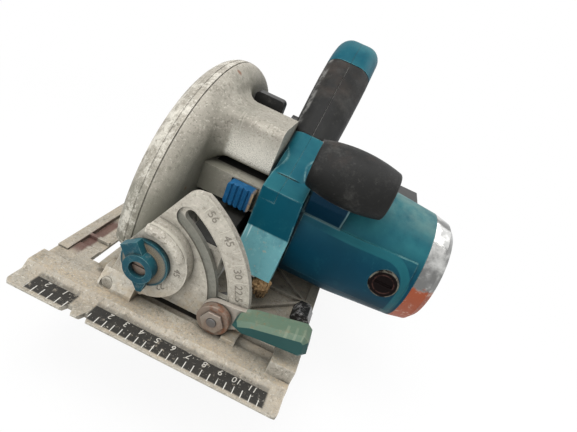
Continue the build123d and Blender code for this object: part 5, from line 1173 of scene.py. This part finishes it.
def quadrant_scale():
    """Numbers and lines of the bevel scale on the quadrant."""
    numbers = []
    for text, reach, degrees in SCALE_NUMBERS:
        x, z = around(BEVEL_PIVOT, reach, degrees)
        numbers.append(numeral(text, SCALE_SIZE, (x, QUADRANT_FACE, z), *outward(BEVEL_PIVOT, x, z)))
    for text, x, z in BOSS_NUMBERS:
        numbers.append(numeral(text, BOSS_SIZE, (x, BOSS_FACE, z), *outward(STOP_CENTRE, x, z)))
    # The raised numbers get a dark finish that stands in for their shade
    carry(join(numbers, "quadrant_numbers"), "base", MARK_DARK_AS_SHADE)
    lines = []
    for degrees, inner in LINE_ANGLES:
        x, z = around(BEVEL_PIVOT, (inner + LINE_END) / 2, degrees)
        lines.append(bar(LINE_END - inner, LINE_WIDTH, (x, QUADRANT_FACE, z), *outward(BEVEL_PIVOT, x, z)))
    carry(join(lines, "quadrant_lines"), "base", CAST)


def battery_ribs():
    """Finger ribs on both sides of the battery's outer end, and stiffening ribs on its mount."""
    low, high = (Vector(corner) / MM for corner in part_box("battery_case"))
    ribs = []
    for side, right in ((low.y, (1, 0, 0)), (high.y, (-1, 0, 0))):
        for step in range(FINGER_RIBS):
            x = high.x - FINGER_RIB_START - FINGER_RIB_PITCH * step
            ribs.append(bar(*FINGER_RIB, (x, side, FINGER_RIB_Z), right, (0, 0, 1), RIB_HEIGHT))
    carry(join(ribs, "battery_ribs"), "battery", BLACK_PLASTIC)
    low, high = (Vector(corner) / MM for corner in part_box("battery_mount"))
    ribs = [bar(*MOUNT_RIB, (x, MOUNT_RIB_Y, high.z), (1, 0, 0), (0, 1, 0), RIB_HEIGHT) for x in MOUNT_RIB_X]
    carry(join(ribs, "mount_ribs"), BODY_OF["battery_mount"], BLACK_PLASTIC)


def boss_rib():
    """Raised rib round the upper right of the stop boss."""
    middle = (STOP_CENTRE[0], BOSS_FACE, STOP_CENTRE[1])
    bpy.ops.object.select_all(action="DESELECT")
    bpy.ops.mesh.primitive_torus_add(major_radius=BOSS_RIB_R * MM, minor_radius=BOSS_RIB_THICK * MM,
                                     major_segments=96, minor_segments=20)
    piece = bpy.context.object
    piece.name = "boss_rib"
    place(piece, middle, (1, 0, 0), (0, 0, 1))
    for degrees, side in zip(BOSS_RIB_ENDS, (90.0, -90.0)):
        turn = math.radians(degrees + side)
        edit(piece)
        bpy.ops.mesh.bisect(plane_co=Vector(middle) * MM, plane_no=(math.cos(turn), 0, math.sin(turn)),
                            use_fill=True, clear_inner=True)
        leave_edit()
    modify(piece, "BEVEL", width=BOSS_RIB_ROUND * MM, segments=4, limit_method="ANGLE",
           angle_limit=math.radians(50))
    smooth(piece, 60)
    carry(piece, "base", CAST)


def dust_clump():
    """Splintered wood caught under the tip of the skirt."""
    bpy.ops.object.select_all(action="DESELECT")
    bpy.ops.mesh.primitive_ico_sphere_add(subdivisions=5, radius=CLUMP_R * MM)
    piece = bpy.context.object
    piece.name = "dust_clump"
    for kind, grain, strength in CLUMP_GRAINS:
        texture = bpy.data.textures.new("splinters", kind)
        texture.noise_scale = grain * MM
        modify(piece, "DISPLACE", texture=texture, strength=strength * MM, texture_coords="LOCAL")
    piece.scale = CLUMP_STRETCH
    only(piece)
    apply_place()
    place(piece, CLUMP_AT, (1, 0, 0), (0, 1, 0))
    smooth(piece, 30)
    carry(piece, "head", DUST)


def seen_directly(tree):
    """A mask of the rays that come from the camera, a mirror or something clear."""
    path = tree.nodes.new("ShaderNodeLightPath")
    result = path.outputs["Is Camera Ray"]
    for kind in ("Is Glossy Ray", "Is Transmission Ray"):
        larger = tree.nodes.new("ShaderNodeMath")
        larger.operation = "MAXIMUM"
        tree.links.new(result, larger.inputs[0])
        tree.links.new(path.outputs[kind], larger.inputs[1])
        result = larger.outputs["Value"]
    return result


def mix_shaders(tree, mask, plain, seen, surface):
    """Connect a plain shader, with another one where the mask holds."""
    mix = tree.nodes.new("ShaderNodeMixShader")
    tree.links.new(mask, mix.inputs["Fac"])
    tree.links.new(plain, mix.inputs[1])
    tree.links.new(seen, mix.inputs[2])
    tree.links.new(mix.outputs["Shader"], surface)


def floor_finish():
    """Matt floor that fades to plain white away from the saw's shadow."""
    material = bpy.data.materials.new("pale_floor")
    material.use_nodes = True
    tree = material.node_tree
    tree.nodes.clear()
    out = tree.nodes.new("ShaderNodeOutputMaterial")
    matt = tree.nodes.new("ShaderNodeBsdfDiffuse")
    matt.inputs["Color"].default_value = (*FLOOR_COLOUR, 1)
    glow = tree.nodes.new("ShaderNodeEmission")
    spot = tree.nodes.new("ShaderNodeTexCoord")
    reach = tree.nodes.new("ShaderNodeVectorMath")
    reach.operation = "DISTANCE"
    reach.inputs[1].default_value = (SHADE_AT[0] * MM, SHADE_AT[1] * MM, 0)
    fade = tree.nodes.new("ShaderNodeValToRGB")
    fade.color_ramp.elements.remove(fade.color_ramp.elements[1])
    for distance, level in SHADE_RAMP:
        fade.color_ramp.elements.new(distance).color = (level, level, level, 1)
    fade.color_ramp.elements[0].color = (0, 0, 0, 1)
    share = tree.nodes.new("ShaderNodeMath")
    share.operation = "MULTIPLY"
    tree.links.new(spot.outputs["Object"], reach.inputs[0])
    tree.links.new(reach.outputs["Value"], fade.inputs["Fac"])
    tree.links.new(seen_directly(tree), share.inputs[0])
    tree.links.new(fade.outputs["Color"], share.inputs[1])
    mix_shaders(tree, share.outputs["Value"], matt.outputs["BSDF"], glow.outputs["Emission"],
                out.inputs["Surface"])
    return material


def lay_floor():
    """Pale floor just under the saw."""
    low = CAD_BOX[0][2] - FLOOR_DROP * MM
    bpy.ops.object.select_all(action="DESELECT")
    bpy.ops.mesh.primitive_plane_add(size=FLOOR_SIZE, location=(0, 0, low))
    floor = bpy.context.object
    floor.name = "floor"
    floor.data.materials.append(floor_finish())


def light_sky():
    """Soft light from all round, seen as plain white."""
    world = bpy.data.worlds.new("studio")
    bpy.context.scene.world = world
    world.use_nodes = True
    tree = world.node_tree
    tree.nodes.clear()
    out = tree.nodes.new("ShaderNodeOutputWorld")
    soft = tree.nodes.new("ShaderNodeBackground")
    soft.inputs["Color"].default_value = (*SKY_COLOUR, 1)
    soft.inputs["Strength"].default_value = SKY_STRENGTH
    white = tree.nodes.new("ShaderNodeBackground")
    white.inputs["Color"].default_value = (1, 1, 1, 1)
    mix_shaders(tree, seen_directly(tree), soft.outputs["Background"], white.outputs["Background"],
                out.inputs["Surface"])


def hang_lamps():
    """Soft lamps, turned to the saw."""
    for name, at, size, power in LAMPS:
        light = bpy.data.lights.new(name, "AREA")
        light.energy = power
        light.size = size
        lamp = bpy.data.objects.new(name, light)
        bpy.context.scene.collection.objects.link(lamp)
        lamp.location = at
        lamp.rotation_euler = (LAMPS_AIM - Vector(at)).to_track_quat("-Z", "Y").to_euler()


def set_camera():
    """The photograph's camera."""
    data = bpy.data.cameras.new("photo_camera")
    data.sensor_width = SENSOR_WIDTH
    data.lens = CAMERA_LENS
    data.clip_start = NEAREST_SEEN * MM
    camera = bpy.data.objects.new("photo_camera", data)
    bpy.context.scene.collection.objects.link(camera)
    right = Vector((math.cos(CAMERA_YAW), -math.sin(CAMERA_YAW), 0))
    level = Vector((math.sin(CAMERA_YAW), math.cos(CAMERA_YAW), 0))
    ahead = level * math.cos(CAMERA_PITCH) - Vector((0, 0, math.sin(CAMERA_PITCH)))
    up = right.cross(ahead)
    across = right * math.cos(CAMERA_ROLL) + up * math.sin(CAMERA_ROLL)
    above = up * math.cos(CAMERA_ROLL) - right * math.sin(CAMERA_ROLL)
    turn = Matrix((across, above, -ahead)).transposed().to_4x4()
    camera.matrix_world = Matrix.Translation(CAMERA_AT) @ turn
    bpy.context.scene.camera = camera
    bpy.context.scene.view_settings.view_transform = "Standard"


finish_solids()
dress_solids()
sole_numbers()
quadrant_scale()
battery_ribs()
boss_rib()
dust_clump()
lay_floor()
light_sky()
hang_lamps()
set_camera()
